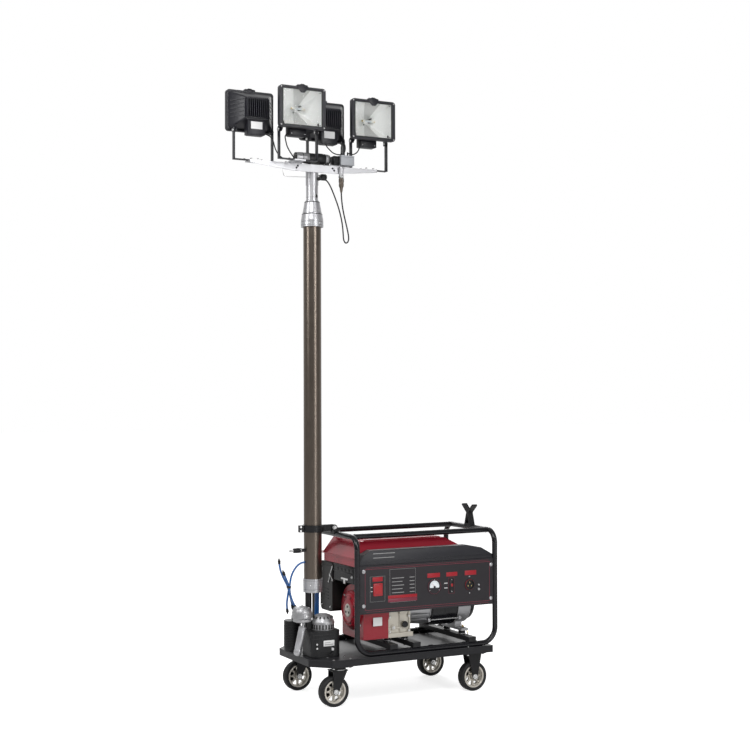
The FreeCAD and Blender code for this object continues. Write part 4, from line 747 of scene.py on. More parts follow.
def make_stage():
    """Pale floor, white surroundings, soft lamps and the photograph's camera."""
    make_floor()
    make_room()
    for name, place, aim, width, height, power in SOFT_LAMPS:
        data = bpy.data.lights.new(name, "AREA")
        data.shape = "RECTANGLE"
        data.size, data.size_y, data.energy = width, height, power
        lamp = bpy.data.objects.new(name, data)
        lamp.location = place
        lamp.rotation_euler = (Vector(aim) - Vector(place)).to_track_quat("-Z", "Y").to_euler()
        bpy.context.scene.collection.objects.link(lamp)

    yaw, pitch, roll = (math.radians(angle) for angle in CAMERA_TURN)
    ahead = Vector((math.sin(yaw) * math.cos(pitch), math.cos(yaw) * math.cos(pitch),
                    math.sin(pitch)))
    right = Vector((math.cos(yaw), -math.sin(yaw), 0))
    over = right.cross(ahead)
    side = right * math.cos(roll) + over * math.sin(roll)
    over = side.cross(ahead)
    camera_data = bpy.data.cameras.new("camera")
    camera_data.sensor_width = 36
    camera_data.lens = CAMERA_LENS
    camera_data.clip_end = 200
    camera = bpy.data.objects.new("camera", camera_data)
    turn = Matrix((side, over, -ahead)).transposed()
    camera.matrix_world = Matrix.Translation(CAMERA_PLACE) @ turn.to_4x4()
    bpy.context.scene.collection.objects.link(camera)
    bpy.context.scene.camera = camera
    bpy.context.scene.view_settings.view_transform = "Standard"


# Wheels and casters

def make_wheels():
    """Rubber tyres with grooves on spoked centres."""
    for side, end in CORNERS:
        low, high = span(f"tyre_{side}_{end}")
        middle, radius, half = (low + high) / 2, (high.z - low.z) / 2, (high.y - low.y) / 2
        body = f"wheel_{side}_{end}"
        start = middle - Y * half
        edge = [(58, 2), (60, 0.4), (66, 0), (66.8, 0.9), (68.2, 0.9), (69, 0.2), (71.5, 1.6),
                (73.6, 4.4), (radius, 9), (radius, 14), (73.7, 14.6), (73.7, 16.6), (radius, 17.2),
                (radius, 22)]
        profile = edge + [(distance, 2 * half - along) for distance, along in reversed(edge)]
        tyre = Piece(f"tread_{side}_{end}", body, "tyre")
        tyre.loop_lathe(start, Y, profile, 72)
        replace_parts(tyre.build(40), f"tyre_{side}_{end}")

        hub = Piece(f"spokes_{side}_{end}", body, "wheel_silver")
        disc = middle - Y * 7
        hole = [(27, -12), (26, 0), (27, 12), (36, 14.6), (44, 16.4), (46.6, 14), (47.4, 7),
                (47.6, 0), (47.4, -7), (46.6, -14), (44, -16.4), (36, -14.6)]  # distance, degrees
        holes = []
        for number in range(8):
            turn = math.radians(22.5 + 45 * number)
            places = [(distance, turn + math.radians(degrees)) for distance, degrees in hole]
            holes.append([disc + Vector((distance * math.cos(angle), 0, distance * math.sin(angle)))
                          for distance, angle in places])
        hub.slab(circle_points(disc, Y, 52, 64), holes, Y * 14, 1.2)
        hub.loop_lathe(middle - Y * 20, Y,
                       [(49, 1), (50, 0), (57, 0), (58, 1.2), (58, 38.8), (57, 40), (50, 40),
                        (49, 39), (51, 27), (51, 13)], 64)
        hub.loop_lathe(middle - Y * 26, Y,
                       [(6.2, 0), (15, 0), (17, 1.5), (18, 14), (20, 19), (20, 33), (18, 38),
                        (17, 50.5), (15, 52), (6.2, 52)], 40)
        for number in range(8):
            way = way_round("Y", 45 * number)
            for face in (-1, 1):
                hub.rod(middle + way * 18 + Y * 7 * face, middle + way * 50 + Y * 7 * face, 2.6, 10)
        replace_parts(hub.build(35), f"wheel_centre_{side}_{end}")


def make_casters():
    """Forks with their axle bolts, bearing races and plate bolts."""
    for node in ("swivel_fork_front", "swivel_fork_back", "rigid_forks"):
        dress(node, "fork_black")
    dress("caster_plates", "fork_black")
    for side, end in CORNERS:
        middle = centre(f"wheel_centre_{side}_{end}")
        body = f"swivel_{end}" if side == "left" else "chassis"
        bolts = Piece(f"axle_bolt_{side}_{end}", body, "fork_black")
        for face in (-1, 1):
            seat = middle + Y * 31.6 * face
            bolts.bolt(seat, Y * face, 8.5)
            bolts.rod(seat, seat + Y * face * 0.9, 12.5, 28, 0.3, ink="zinc")
        if side == "left":
            axis = pivot(f"swivel_turn_{end}")
            bolts.ring((axis.x, axis.y, 178.2), (axis.x, axis.y, 181.5), 34.5, 29, 48, 0.8,
                       ink="zinc")
            bolts.bolt((axis.x, axis.y, 173.9), -Z, 9)
        bolts.build()
    plates = Piece("caster_plate_bolts", "chassis", "fork_black")
    for side, end in CORNERS:
        middle = centre(f"wheel_centre_{side}_{end}")
        x = pivot(f"swivel_turn_{end}").x if side == "left" else middle.x
        for shift_x in (-45, 45):
            for shift_y in (-35, 35):
                seat = Vector((x + shift_x, middle.y + shift_y, 192))
                plates.bolt(seat, -Z, 7)
                plates.bolt((seat.x, seat.y, DECK_TOP), Z, 6, round_head=True)
    plates.build()


# Deck and tube frame

def make_deck():
    """Deck with weld seams along its edge and a dusty top."""
    dress("deck_frame", "deck_black")
    dress("deck_plate", "deck_top")
    low, high = span("deck_frame")
    seam = Piece("deck_seam", "chassis", "deck_black")
    corner = 88
    outline = [(low.x + corner, low.y), (high.x, low.y), (high.x, high.y), (low.x + corner, high.y),
               (low.x, high.y - corner), (low.x, low.y + corner), (low.x + corner, low.y)]
    seam.tube([(x, y, high.z) for x, y in outline], 1.6, 6)
    seam.build()


STRAP = ((-11, 13.5), (11, 13.5), (11, 16.5), (-11, 16.5))  # a hoop strap's section


def make_tube_frame():
    """Tube frame with weld beads and the bolts of what it carries."""
    for node in ("frame_hoops", "frame_arches", "top_rails"):
        dress(node, "tube_black")
    dress("engine_crossbars", "bracket_black")
    rails_low, rails_high = span("top_rails")
    beads = Piece("frame_welds", "chassis", "tube_black")
    for x in (rails_low.x + 14.5, rails_high.x - 14.5):
        for y in (rails_low.y + 13.5, rails_high.y - 13.5):
            beads.torus((x, y, 816), X, 13.4, 1.5)
    hoops_low, hoops_high = span("frame_hoops")
    for x in (hoops_low.x + 13.5, hoops_high.x - 13.5):
        for y in (hoops_low.y + 13.5, hoops_high.y - 13.5):
            beads.torus((x, y, 754), Z, 13.2, 1.1)
    for bar in CROSSBARS:
        for y in (-248, 248):
            for shift in (-21, 21):
                beads.tube([(bar + shift, y - 13, 258.5), (bar + shift, y, 260),
                            (bar + shift, y + 13, 258.5)], 2.0, 8)
    beads.build()
    bolts = Piece("frame_bolts", "chassis", "bracket_black")
    for bar, shift in zip(CROSSBARS, (18, -14, 0)):
        for y in (-155, -3):
            bolts.rod((bar + shift, y, 284), (bar + shift, y, 288), 19.5, 28, 0.6, ink="zinc")
            bolts.bolt((bar + shift, y, 258), -Z, 7)
    for x in (60, 300, 500):
        for y in (-248, 248):
            inner = -20 if y > 0 else 20
            bolts.box((x - 11, min(y, y + inner), DECK_TOP),
                      (x + 11, max(y, y + inner), DECK_TOP + 3), 0.8, ink="tube_black")
            bolts.bolt((x, y + inner * 0.95, DECK_TOP + 3), Z, 5.5)
            middle = Vector((x, y, 244.5))
            for step in range(-2, 2):
                ways = (way_round("X", 90 + 36 * step), way_round("X", 126 + 36 * step))
                bolts.loft([[middle + way * radius + X * shift for shift, radius in STRAP]
                            for way in ways], ink="tube_black")
    bolts.build()


# Engine and alternator

def make_crankcase():
    """Crankcase casting with its ribs, covers, oil filler, fins and spark plug."""
    low, high = span("engine_block")
    front = -185
    case = Piece("crankcase_details", "chassis", "engine_casting")
    for x in (low.x + 3, low.x + 66, 205):
        case.box((x, front - 6, 325), (x + 7, front + 8, 490), 2.2)
    for z in (345, 470):
        case.box((low.x + 4, front - 5, z), (212, front + 8, z + 7), 2.2)
    case.box((low.x + 2, front - 8, 303), (226, front + 6, 318), 2.5)
    for x in (low.x + 12, 206):
        for z in (332, 405, 482):
            case.stub((x, front + 4, z), -Y, 11, 8.5, 20, 1)
            case.bolt((x, front - 7, z), -Y, 5.5)
    case.stub((118, front + 2, 352), -Y, 11, 13, 28, 1.2)
    case.bolt((118, front - 9, 352), -Y, 8)

    filler = Vector((178, front + 2, 366))
    case.stub(filler, -Y, 14, 15, 28, 1.2)
    case.lathe(filler - Y * 14, -Y, [(14, 0), (16, 1.5), (16, 8), (14.5, 10), (6, 10.5), (0, 10.5)],
               28, ink="black_plastic")
    case.box((150, front - 15, 420), (176, front + 2, 446), 3)
    ignition_lead = [(163, front - 12, 446), (163, front - 22, 470), (150, front - 20, 500),
                     (130, front - 4, 520), (120, front + 20, 540)]
    case.tube(line_of(ignition_lead), 2.2, 8, ink="cable_black")

    for number in range(9):
        z = 386 + number * 13.5
        case.box((high.x - 22, 32, z), (high.x - 2, 168, z + 3), 0.8)
        case.box((low.x - 1, 52, z), (low.x + 10, 168, z + 3), 0.8)
    case.box((96, 40, 500), (216, 165, 506.5), 2)
    case.rod((196, 140, 505), (196, 152, 540), 9, 20, 1, ink="ceramic")
    case.rod((196, 150, 534), (196, 160, 562), 11, 20, 2, ink="cable_black")
    case.build()


def make_fan_housing():
    """Bolts, rim and blank label of the red fan housing."""
    low, high = span("fan_housing")
    trim = Piece("fan_housing_trim", "chassis", "engine_red")
    for angle in (35, 145, 215, 325):
        trim.bolt(SHAFT + X * low.x + way_round("X", angle) * 112, -X, 6)
    trim.torus(SHAFT + X * (high.x - 3), X, 126, 2.6, 64)
    trim.box((-4, low.y - 0.6, 370), (46, low.y + 2, 412), 0.4, ink="label_white")
    trim.build()


def make_starter():
    """Recoil starter: ringed cover with its slots, hub, bolts and handle."""
    seat = SHAFT + X * span("recoil_cover")[1].x
    starter = Piece("starter_cover", "chassis", "engine_red")
    starter.lathe(seat, -X,
                  [(98, 0), (98, 5), (95, 9), (88, 12), (86, 17), (80, 22), (64, 25), (60, 26.5),
                   (34, 28), (0, 28)], 72)
    for radius, lift in ((88, 12), (74, 24), (60, 26.6)):
        starter.torus(seat - X * lift, X, radius, 2.4, 64)
    for number in range(8):
        way = way_round("X", 22.5 + 45 * number)
        starter.loft(slot_loops(seat - X * 25.4, way, ((64, 0), (71, 0.8)), 0.5, 3), ink="rubber")
    starter.lathe(seat - X * 27, -X, [(33, 0), (33, 1.5), (30, 3), (12, 3.4), (0, 3.4)], 40,
                  ink="wheel_silver")
    for number in range(3):
        spot = seat + way_round("X", 90 + 120 * number) * 18
        starter.box(spot - Vector((31.4, 6, 6)), spot - Vector((29.4, -6, -6)), 0.8, ink="rubber")
    starter.bolt(seat - X * 30, -X, 5)
    for number in range(4):
        starter.bolt(seat + way_round("X", 45 + 90 * number) * 91 - X * 9, -X, 5)
    rope = ((-14, -70, 62), (-22, -84, 84), (-24, -92, 104))
    starter.tube([seat + Vector(point) for point in rope], 2.0, 8, ink="cable_black")
    starter.stub(seat + Vector((-24, -116, 108)), Y, 46, 7.5, 20, 3, ink="black_plastic")
    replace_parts(starter.build(38), "recoil_cover")


def make_intake():
    """Air cleaner's lid, clips and choke lever, with the carburettor and its linkage."""
    intake = Piece("intake", "chassis", "black_plastic")
    intake.box((-97.5, -189.5, 624), (77.5, 63.5, 630), 1.5)
    intake.box((-95, -187, 653), (75, 61, 662.5), 2.5)
    for x in (-30, 50):
        intake.box((x - 7, -193, 610), (x + 7, -187, 640), 1, ink="zinc")
    for number in range(5):
        y = -172 + number * 42
        intake.box((-97.2, y, 634), (-94, y + 30, 648), 0.8)
    intake.bolt((-96, -157, 612), -X, 7)
    intake.box((-101.5, -112, 592), (-95.5, -40, 600), 1.5, ink="label_white")
    intake.box((-100.5, -84, 572), (-96.5, -68, 593), 1, ink="label_white")
    intake.stub((-93, -76, 580), -X, 10, 5, 14, 0.5, ink="zinc")
    intake.box((-62, -186, 548), (-22, -136, 581), 3, ink="engine_casting")
    intake.stub((-42, -184, 562), -Y, 12, 11, 24, 1.5, ink="engine_casting")
    intake.stub((-42, -161, 538), Z, 11, 16, 28, 2, ink="zinc")
    for y, z, size in ((66, 640, 6), (90, 596, 7), (62, 574, 6), (108, 560, 5)):
        intake.bolt((-97, y, z), -X, size)
    for radius, linkage in ((2.6,
                             [(-99, 66, 638), (-102, 74, 616), (-101, 88, 600), (-99, 96, 580),
                              (-98, 108, 562)]),
                            (2.2, [(-99, 96, 600), (-102, 76, 592), (-100, 62, 576)])):
        intake.tube(line_of(linkage), radius, 8, ink="zinc")
    intake.build()


def make_muffler():
    """Drilled heat shield round the muffler, its top cover and louvres."""
    low, high = span("muffler")
    shield = Piece("muffler_shield", "chassis", "muffler_steel")
    left, right, foot, top = 80, high.x - 6, 530, 638
    for x in (left, right - 2):
        shield.box((x - 3, low.y + 8, 564), (x + 3, high.y + 0.5, 642.8), 1.5)
    holes = [circle_points((100 + column * 16.5, high.y - 0.5, 546 + row * 18), Y, 4.5, 10)
             for row in range(5) for column in range(10)]
    outline = [(left, foot), (right, foot), (right, top), (left, top)]
    shield.slab([(x, high.y - 0.5, z) for x, z in outline], holes, Y * 2)
    for x in (left + 8, right - 6):
        for z in (foot + 6, top - 6):
            shield.bolt((x, high.y + 1.5, z), Y, 5)
    shield.box((-94, 74, 640), (66, 206, 661), 3)
    for y, z in ((192, 618), (192, 434), (90, 434)):
        shield.bolt((-96, y, z), -X, 6)
    for number in range(4):
        z = 470 + number * 16
        shield.box((-97, 110, z), (-95, 182, z + 6), 0.6, ink="bracket_black")
    shield.build()


def make_engine():
    """Crankcase, red fan housing with its starter, air cleaner and muffler."""
    for node, name in (("engine_block", "engine_casting"), ("fan_housing", "engine_red"),
                       ("muffler", "muffler_steel"), ("air_cleaner", "black_plastic")):
        dress(node, name)
    make_crankcase()
    make_fan_housing()
    make_starter()
    make_intake()
    make_muffler()


def make_alternator():
    """Ribbed adapter, black barrel with tie bolts, end casting and vented cover."""
    dress("alternator_castings", "grey_casting")
    dress("alternator_barrel", "tube_black")
    ribs = Piece("alternator_ribs", "chassis", "grey_casting")
    for number in range(18):
        way = way_round("X", 20 * number)
        across = X.cross(way)
        if way.z > -0.75:
            ribs.loft([[SHAFT + X * x + way * distance + across * shift for distance,
                        shift in ((96, -2.4), (96, 2.4), (104.5, 1.6), (104.5, -1.6))]
                       for x in (230, 344)])
    for x, radius, wire, name in ((222, 101, 3.2, "grey_casting"), (341, 101, 3.2, "grey_casting"),
                                  (352, 108, 2.2, "tube_black"), (496, 108, 2.2, "tube_black"),
                                  (423, 108, 1.2, "tube_black"), (505, 103.2, 2.6, "grey_casting"),
                                  (572, 103.2, 2.6, "grey_casting")):
        ribs.torus(SHAFT + X * x, X, radius, wire, 72, ink=name)
    for angle in (38, 142, 218, 322):
        way = way_round("X", angle) * 111
        start, end = SHAFT + X * 338 + way, SHAFT + X * 512 + way
        ribs.rod(start, end, 3.6, 12, ink="zinc")
        ribs.box(start - Vector((10, 9, 9)), start + Vector((4, 9, 9)), 2.5)
        ribs.box(end - Vector((4, 9, 9)), end + Vector((10, 9, 9)), 2.5)
        ribs.bolt(end + X * 10, X, 6)
    for number in range(14):
        way = way_round("X", 14 + 360 / 14 * number)
        ribs.loft(slot_loops(SHAFT + X * 612, way, ((44, 0), (78, 0)), 2, 0.4), ink="rubber")
    ribs.box((548, SHAFT.y - 46, 300), (566, SHAFT.y - 30, 322), 1.5, ink="zinc")
    ribs.bolt((552, SHAFT.y - 62, 318), -Y, 6, ink="brass")
    earth_lead = [(552, SHAFT.y - 68, 318), (560, SHAFT.y - 84, 304), (566, SHAFT.y - 92, 286),
                  (560, SHAFT.y - 96, 284)]
    ribs.tube(line_of(earth_lead), 2.4, 8, ink="brass")
    for side in (-1, 1):
        ribs.bolt((538, SHAFT.y + 76 * side, 303), Z, 8)
    ribs.build()


# Fuel tank and control panel

def make_tank():
    """Red pressed tank with its seam's rivets, bolts, neck and a knurled cap."""
    dress("fuel_tank", "tank_red")
    seam = 706
    trim = Piece("tank_trim", "chassis", "tank_red")
    for x in (-80, 120, 320, 520):
        trim.stub((x, 202, seam), Z, 2.2, 4.5, 14, 0.8)
    for x in (-84, 648):
        trim.bolt((x, 249, seam), Z, 7)
    trim.build()

    low, high = span("fuel_cap")
    foot = Vector(((low.x + high.x) / 2, (low.y + high.y) / 2, low.z))
    radius = (high.x - low.x) / 2
    cap = Piece("tank_cap", "chassis", "black_plastic")
    cap.lathe(foot, Z,
              [(radius - 3, 0), (radius - 1.5, 1), (radius - 1.5, 9), (radius - 4, 11.5), (0, 12)],
              64)
    for number in range(32):
        way = way_round("Z", 360 * number / 32)
        rib = foot + Z * 1.5 + way * (radius - 1.6)
        cap.rod(rib, rib + Z * 7.5 - way * 0.6, 1.5, 8)
    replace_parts(cap.build(), "fuel_cap")
    neck = Piece("tank_neck", "chassis", "tank_red")
    neck.lathe((foot.x, foot.y, span("fuel_tank")[1].z - 7), Z,
               [(46, 0), (44, 3), (40, 5), (36, 6.5), (0, 6.5)], 48)
    neck.build()


def flat_frame(piece, x0, x1, z0, z1, line, ink, front=PANEL_FRONT):
    """Four thin strips round a rectangle on the panel's face."""
    for low_x, high_x, low_z, high_z in ((x0, x1, z1 - line, z1), (x0, x1, z0, z0 + line),
                                         (x0, x0 + line, z0 + line, z1 - line),
                                         (x1 - line, x1, z0 + line, z1 - line)):
        piece.box((low_x, front - 0.4, low_z), (high_x, front + 0.4, high_z), 0, ink=ink)


def make_panel_print():
    """Blank labels, stripes, lines and corner screws on the panel's face."""
    face = Piece("panel_print", "chassis", "panel_black")
    flat_frame(face, -72, 648, 458, 660, 2.0, "red_stripe_and_groove_shade")
    for x0, x1, z0, z1, proud, edge, ink in ((-64, 640, 666, 667.4, 0.4, 0, "red_stripe_and_groove_shade"),
                                             (-64, 640, 449, 450.4, 0.4, 0, "red_stripe_and_groove_shade"),
                                             (-30, 26, 597, 619, 0.6, 0.3, "label_red"),
                                             (280, 353, 597, 619, 0.6, 0.3, "label_red"),
                                             (390, 454, 597, 618, 0.6, 0.3, "label_red"),
                                             (499, 567, 597, 620, 0.6, 0.3, "label_red"),
                                             (56, 220, 508, 523, 0.6, 0.3, "label_red"),
                                             (56, 220, 490, 507, 0.5, 0.2, "red_stripe_and_groove_shade")):
        face.box((x0, PANEL_FRONT - proud, z0), (x1, PANEL_FRONT + 0.4, z1), edge, ink=ink)
    flat_frame(face, 66, 212, 488, 652, 0.8, "print_grey")
    for row in range(5):
        z = 606 - row * 18
        for x0, x1 in ((78, 146 - 9 * (row % 2)), (178, 206)):
            face.box((x0, PANEL_FRONT - 0.5, z), (x1, PANEL_FRONT + 0.4, z + 3), 0,
                     ink="print_grey")
    for x, z in ((-78.5, 649), (-79, 480), (656.7, 643), (655, 471)):
        face.lathe((x, PANEL_FRONT, z), -Y,
                   [(9.5, 0), (9.4, 1.2), (8.6, 1.8), (7, 2.0), (6.6, 3.6), (4.6, 5.0), (1.8, 5.4),
                    (1.5, 4.6), (0, 4.6)], 24, ink="silver")
    face.build()


def make_brow():
    """Grooved grey plate over the panel, with two plain stripes where a sign would be."""
    foot, front = 676, PANEL_FRONT + 6
    brow = Piece("panel_brow_trim", "chassis", "panel_black")
    outline = [(-96, 0.5), (665, 0.5), (665, 20), (598, 56), (516.5, 71.8), (-34, 71.8),
               (-75, 51.5), (-96, 21)]
    brow.slab([(x, front, foot + lift) for x, lift in outline], [], Y * -1.2, 0.5, ink="brow_grey")
    for number in range(4):
        z = foot + 9 + number * 4.5
        brow.box((-90, front - 2.2, z), (658, front - 0.6, z + 1.6), 0.5, ink="brow_grey")
    for lift, x_end in ((35, 94), (56, 98)):
        brow.box((-24, front - 1.9, foot + lift), (x_end, front - 0.8, foot + lift + 3), 0,
                 ink="print_grey")
    brow.build()


def make_main_switch(proud):
    """Framed rocker switch; proud is the Y of its foremost edge."""
    middle_x, middle_z = -1, 557
    switch = Piece("main_switch", "chassis", "control_plastic")
    switch.loft([rounded_loop(width, height, radius, PANEL_FRONT - lift, 4, (middle_x, middle_z))
                 for width, height, radius,
                 lift in ((50, 62, 5, 0), (50, 62, 5, 3), (46, 58, 4, 4))])
    seat = PANEL_FRONT - 3.8
    switch.loft([[(middle_x - 18, seat, z), (middle_x + 18, seat, z), (middle_x + 18, top, top_z),
                  (middle_x - 18, top, top_z)] for z, top,
                 top_z in ((534, proud + 0.4, 540), (557, PANEL_FRONT - 4.6, 557),
                           (580, proud + 1.6, 575))])
    # A dark red frame round the rocker: painted shade of the groove between the rocker and its
    # frame
    flat_frame(switch, -20, 18, 533, 582, 1.6, "red_stripe_and_groove_shade", PANEL_FRONT - 4.1)
    flat_frame(switch, -44, 39, 498, 622, 0.8, "print_grey")
    for z in (548, 568):
        switch.box((-40, PANEL_FRONT - 0.6, z), (-31, PANEL_FRONT + 0.2, z + 3), 0,
                   ink="label_white")
    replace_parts(switch.build(), "panel_controls")


def make_meter():
    """Round meter with a half dial, plain marks and a needle."""
    seat = Vector((319, PANEL_FRONT, 552))
    meter = Piece("meter", "chassis", "control_plastic")
    meter.lathe(seat, -Y, [(38, 0), (38, 2.4), (36.8, 3.4), (0, 3.4)], 56, ink="panel_black")
    meter.loop_lathe(seat, -Y, [(37.6, 3.2), (37.6, 4.2), (36.6, 4.2), (36.6, 3.2)], 56,
                     ink="red_stripe_and_groove_shade")
    dial = [seat + way_round("Y", angle) * 27 + Vector((0, -3.4, 2))
            for angle in range(-18, 199, 12)]
    meter.slab(dial, [], Y * -0.9, ink="dial_white")
    meter.stub(seat + Vector((0, -4.2, -3)), -Y, 1.8, 6.2, 24, 0.6, ink="black_plastic")
    for number in range(13):
        way = way_round("Y", 15 + 12.5 * number)
        start = seat + Vector((0, -4.5, 2))
        meter.tube([start + way * 20, start + way * (24 if number % 3 else 25.5)], 0.45, 6,
                   ink="black_plastic")
    meter.tube([seat + Vector((0, -5, -2)), seat + Vector((-13, -5, 15))], 0.5, 6, ink="label_red")
    for angle in (90, 215, 325):
        meter.screw(seat + way_round("Y", angle) * 33 - Y * 3.3, -Y, 3, ink="silver")
    meter.build()


def make_breaker(proud):
    """Breaker with its red lever, frame and blank marks; proud is the lever's front in Y."""
    breaker = Piece("breaker", "chassis", "control_plastic")
    breaker.box((407, PANEL_FRONT - 3.5, 514), (433, PANEL_FRONT, 586), 1.2, ink="black_plastic")
    breaker.box((412, proud + 2.4, 528), (428, PANEL_FRONT - 2, 572), 1.2, ink="black_plastic")
    breaker.box((415, proud + 0.1, 546), (425, proud + 4, 560), 1)
    flat_frame(breaker, 403, 437, 510, 590, 1.0, "red_stripe_and_groove_shade")
    for z in (520, 580):
        breaker.screw((420, PANEL_FRONT - 3.4, z), -Y, 3.4, ink="silver")
    for z in (538, 562):
        breaker.box((378, PANEL_FRONT - 0.6, z), (396, PANEL_FRONT + 0.2, z + 4), 0,
                    ink="label_white")
    breaker.build()


def make_outlet():
    """Round outlet with three contacts, its screws and the two earth studs beside it."""
    seat = Vector((527, PANEL_FRONT, 548))
    outlet = Piece("outlet", "chassis", "control_plastic")
    outlet.lathe(seat, -Y,
                 [(27, 0), (27, 3.6), (26, 5.6), (23.6, 7), (21.8, 7), (21.4, 5), (21, 1.6),
                  (0, 1.6)], 48, ink="black_plastic")
    outlet.loop_lathe(seat, -Y, [(27, 3.0), (27, 4.4), (26.2, 5.4), (25.8, 3.0)], 48,
                      ink="label_red")
    for angle in (90, 210, 330):
        spot = seat + way_round("Y", angle) * 11
        outlet.box(spot - Vector((1.6, 3, 4)), spot - Vector((-1.6, 1.2, -4)), 0.4, ink="brass")
    for z in (505, 589):
        outlet.screw((seat.x, PANEL_FRONT, z), -Y, 4.4, ink="silver")
    for z, size in ((522, 6.4), (544, 4.6)):
        outlet.lathe((582, PANEL_FRONT, z), -Y,
                     [(size, 0), (size, 2.6), (size * 0.7, 3), (size * 0.7, 5.2), (size * 0.45, 7),
                      (0, 7)], 20, ink="silver")
    outlet.build()


def make_panel():
    """Control panel with its blank print, brow, switch, meter, breaker and outlet."""
    dress("control_panel", "panel_black")
    proud = span("panel_controls")[0].y
    make_panel_print()
    make_brow()
    make_main_switch(proud)
    make_meter()
    make_breaker(proud)
    make_outlet()


# Air compressor

def make_compressor_head():
    """Silver pump head: neck, ringed cylinder, cover bolts and inlet."""
    seat = (-331, -76)
    head = Piece("compressor_head_casting", "chassis", "grey_casting")
    head.loft([flat_loop(40, 40, 8, z, (-297, -76)) for z in (361, 404)], ink="bracket_black")
    head.loft([flat_loop(width, width - 4, radius, z, seat) for width, radius,
               z in ((60, 20, 397), (84, 30, 402), (84, 30, 414), (96, 40, 419), (96, 40, 446),
                     (92, 40, 458), (78, 34, 468), (52, 22, 472))])
    for z in (422, 431, 440):
        head.loft([flat_loop(width, width - 4, radius, z + lift, seat) for width, radius,
                   lift in ((96, 40, 0), (99.5, 41, 1.6), (99.5, 41, 3), (96, 40, 4.6))])
    head.box((-318, -60, 384), (-300, 92, 412), 8, ink="bracket_black")
    for x in (-356, -306):
        for y in (-99, -53):
            head.stub((x, y, 455), Z, 13, 8, 20, 2)
            head.bolt((x, y, 468), Z, 5.5)
    head.stub((*seat, 470), Z, 6, 14, 28, 1.5)
    head.bolt((*seat, 476), Z, 7)
    head.stub((-331, -118, 432), -Y, 9, 13, 28, 1.5, ink="silver")
    head.bolt((-331, -127, 432), -Y, 6)
    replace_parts(head.build(30), "compressor_head")


def make_compressor_bands(gap):
    """Bands round the motor's housing and cooling fins round the drum."""
    middle, side = (-240, -102), 152
    bands = Piece("compressor_fins", "chassis", "black_plastic")
    for z, height, proud in ((233, 12, 1.0), (262, 3, 0.6), (322, 4, 1.4), (340, 4, 1.4),
                             (352, 8, 1.0)):
        bands.loft([flat_loop(side + grow * proud, side + grow * proud, 34, z + height * lift,
                              middle) for grow, lift in ((1, 0), (2, 0.5), (1, 1))])
    drum, first, last = Vector((-309, 92, 231)), 20, 149
    pitch = gap / MM
    for number in range(int(146 / pitch)):
        z = first + number * pitch
        if z < last:
            bands.loop_lathe(drum, Z, [(41.5, z), (44, z), (44, z + 2.4), (41.5, z + 2.4)], 40)
    bands.build()


def make_compressor_cap():
    """Slotted silver cap of the motor, and the silver canister leaning beside it."""
    foot = Vector((-230, -102, 361))
    cap = Piece("compressor_cap", "chassis", "grey_casting")
    cap.lathe(foot, Z,
              [(58, 0), (58, 2.5), (55, 3.5), (55, 27), (57.6, 28.5), (57.6, 38), (56, 41),
               (50, 52), (44, 62), (36, 70), (22, 75), (0, 76)], 72)
    for number in range(22):
        angle = 360 * number / 22
        spot = foot + way_round("Z", angle) * 55.3 + Z * 15
        half = Vector((1.3, 3.6, 11))
        cap.box(spot - half, spot + half, 0.9, Matrix.Rotation(math.radians(angle), 3, "Z"),
                ink="rubber")
    slope = Vector((8, 0, -10)).normalized()
    for number in range(15):
        turn = Matrix.Rotation(2 * math.pi * (number + 0.5) / 15, 3, "Z")
        start = foot + turn @ (Vector((46, 0, 59)) + Vector((slope.z, 0, -slope.x)) * -1.4)
        cap.tube([start - turn @ slope * 5.5, start + turn @ slope * 5.5], 3.4, 12, ink="rubber")
    cap.rod(foot + Z * 74.5, foot + Z * 76, 9, 24, 0.4, ink="silver")
    lean = X * math.sin(math.radians(13)) + Z * math.cos(math.radians(13))
    cap.lathe(Vector((-367, -98, 247)) - lean * 8, lean,
              [(0, 0), (7, 0), (11, 1.5), (17.6, 8), (19, 11), (19, 30), (18.2, 31.5), (18.2, 33.5),
               (19, 35), (19, 120), (18.4, 122), (18.4, 125), (19, 127), (19, 141), (16, 144),
               (7.6, 145), (7, 150), (7, 172), (0, 172)], 40, ink="silver")
    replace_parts(cap.build(), "compressor_castings")


def make_compressor(gap):
    """Compressor with its silver head, bands and fins, slotted cap, canister and blank label."""
    dress("compressor_body", "black_plastic")
    make_compressor_head()
    make_compressor_bands(gap)
    make_compressor_cap()
    front = -178.6
    trim = Piece("compressor_trim", "chassis", "black_plastic")
    trim.box((-262, front - 0.8, 288), (-204, front + 1, 316), 0.3, ink="label_white")
    for x_end, z, height in ((-212, 294, 4), (-226, 304, 3)):
        trim.box((-256, front - 1.1, z), (x_end, front, z + height), 0, ink="print_grey")
    trim.stub((-214, front + 1, 272), -Y, 5, 8, 24, 1, ink="silver")
    trim.stub((-214, front - 4, 272), -Y, 1, 5, 20, 0.3, ink="label_white")
    for z in (300, 280):
        trim.bolt((-296, front + 2, z), -Y, 5)
    air_pipe = [(-300, 70, 410), (-290, 40, 440), (-286, 4, 446), (-292, -30, 440)]
    trim.tube(line_of(air_pipe), 4.5, 12, ink="silver")
    for place in ((-300, 64, 412), (-292, -34, 440)):
        trim.stub(place, Y, 12, 7, 6, 0.6, ink="brass")
    motor_lead = [(-214, front + 4, 262), (-214, -188, 256), (-236, -186, 244), (-290, -150, 238)]
    trim.tube(line_of(motor_lead), 3, 8, ink="cable_black")
    trim.build()


# Telescopic mast

def groove(piece, radius, z):
    """A dark ring set into a round part of the mast."""
    piece.loop_lathe(MAST + Z * z, Z,
                     [(radius - 1, 0), (radius + 0.15, 0), (radius + 0.15, 1.1), (radius - 1, 1.1)],
                     64, ink="rubber")


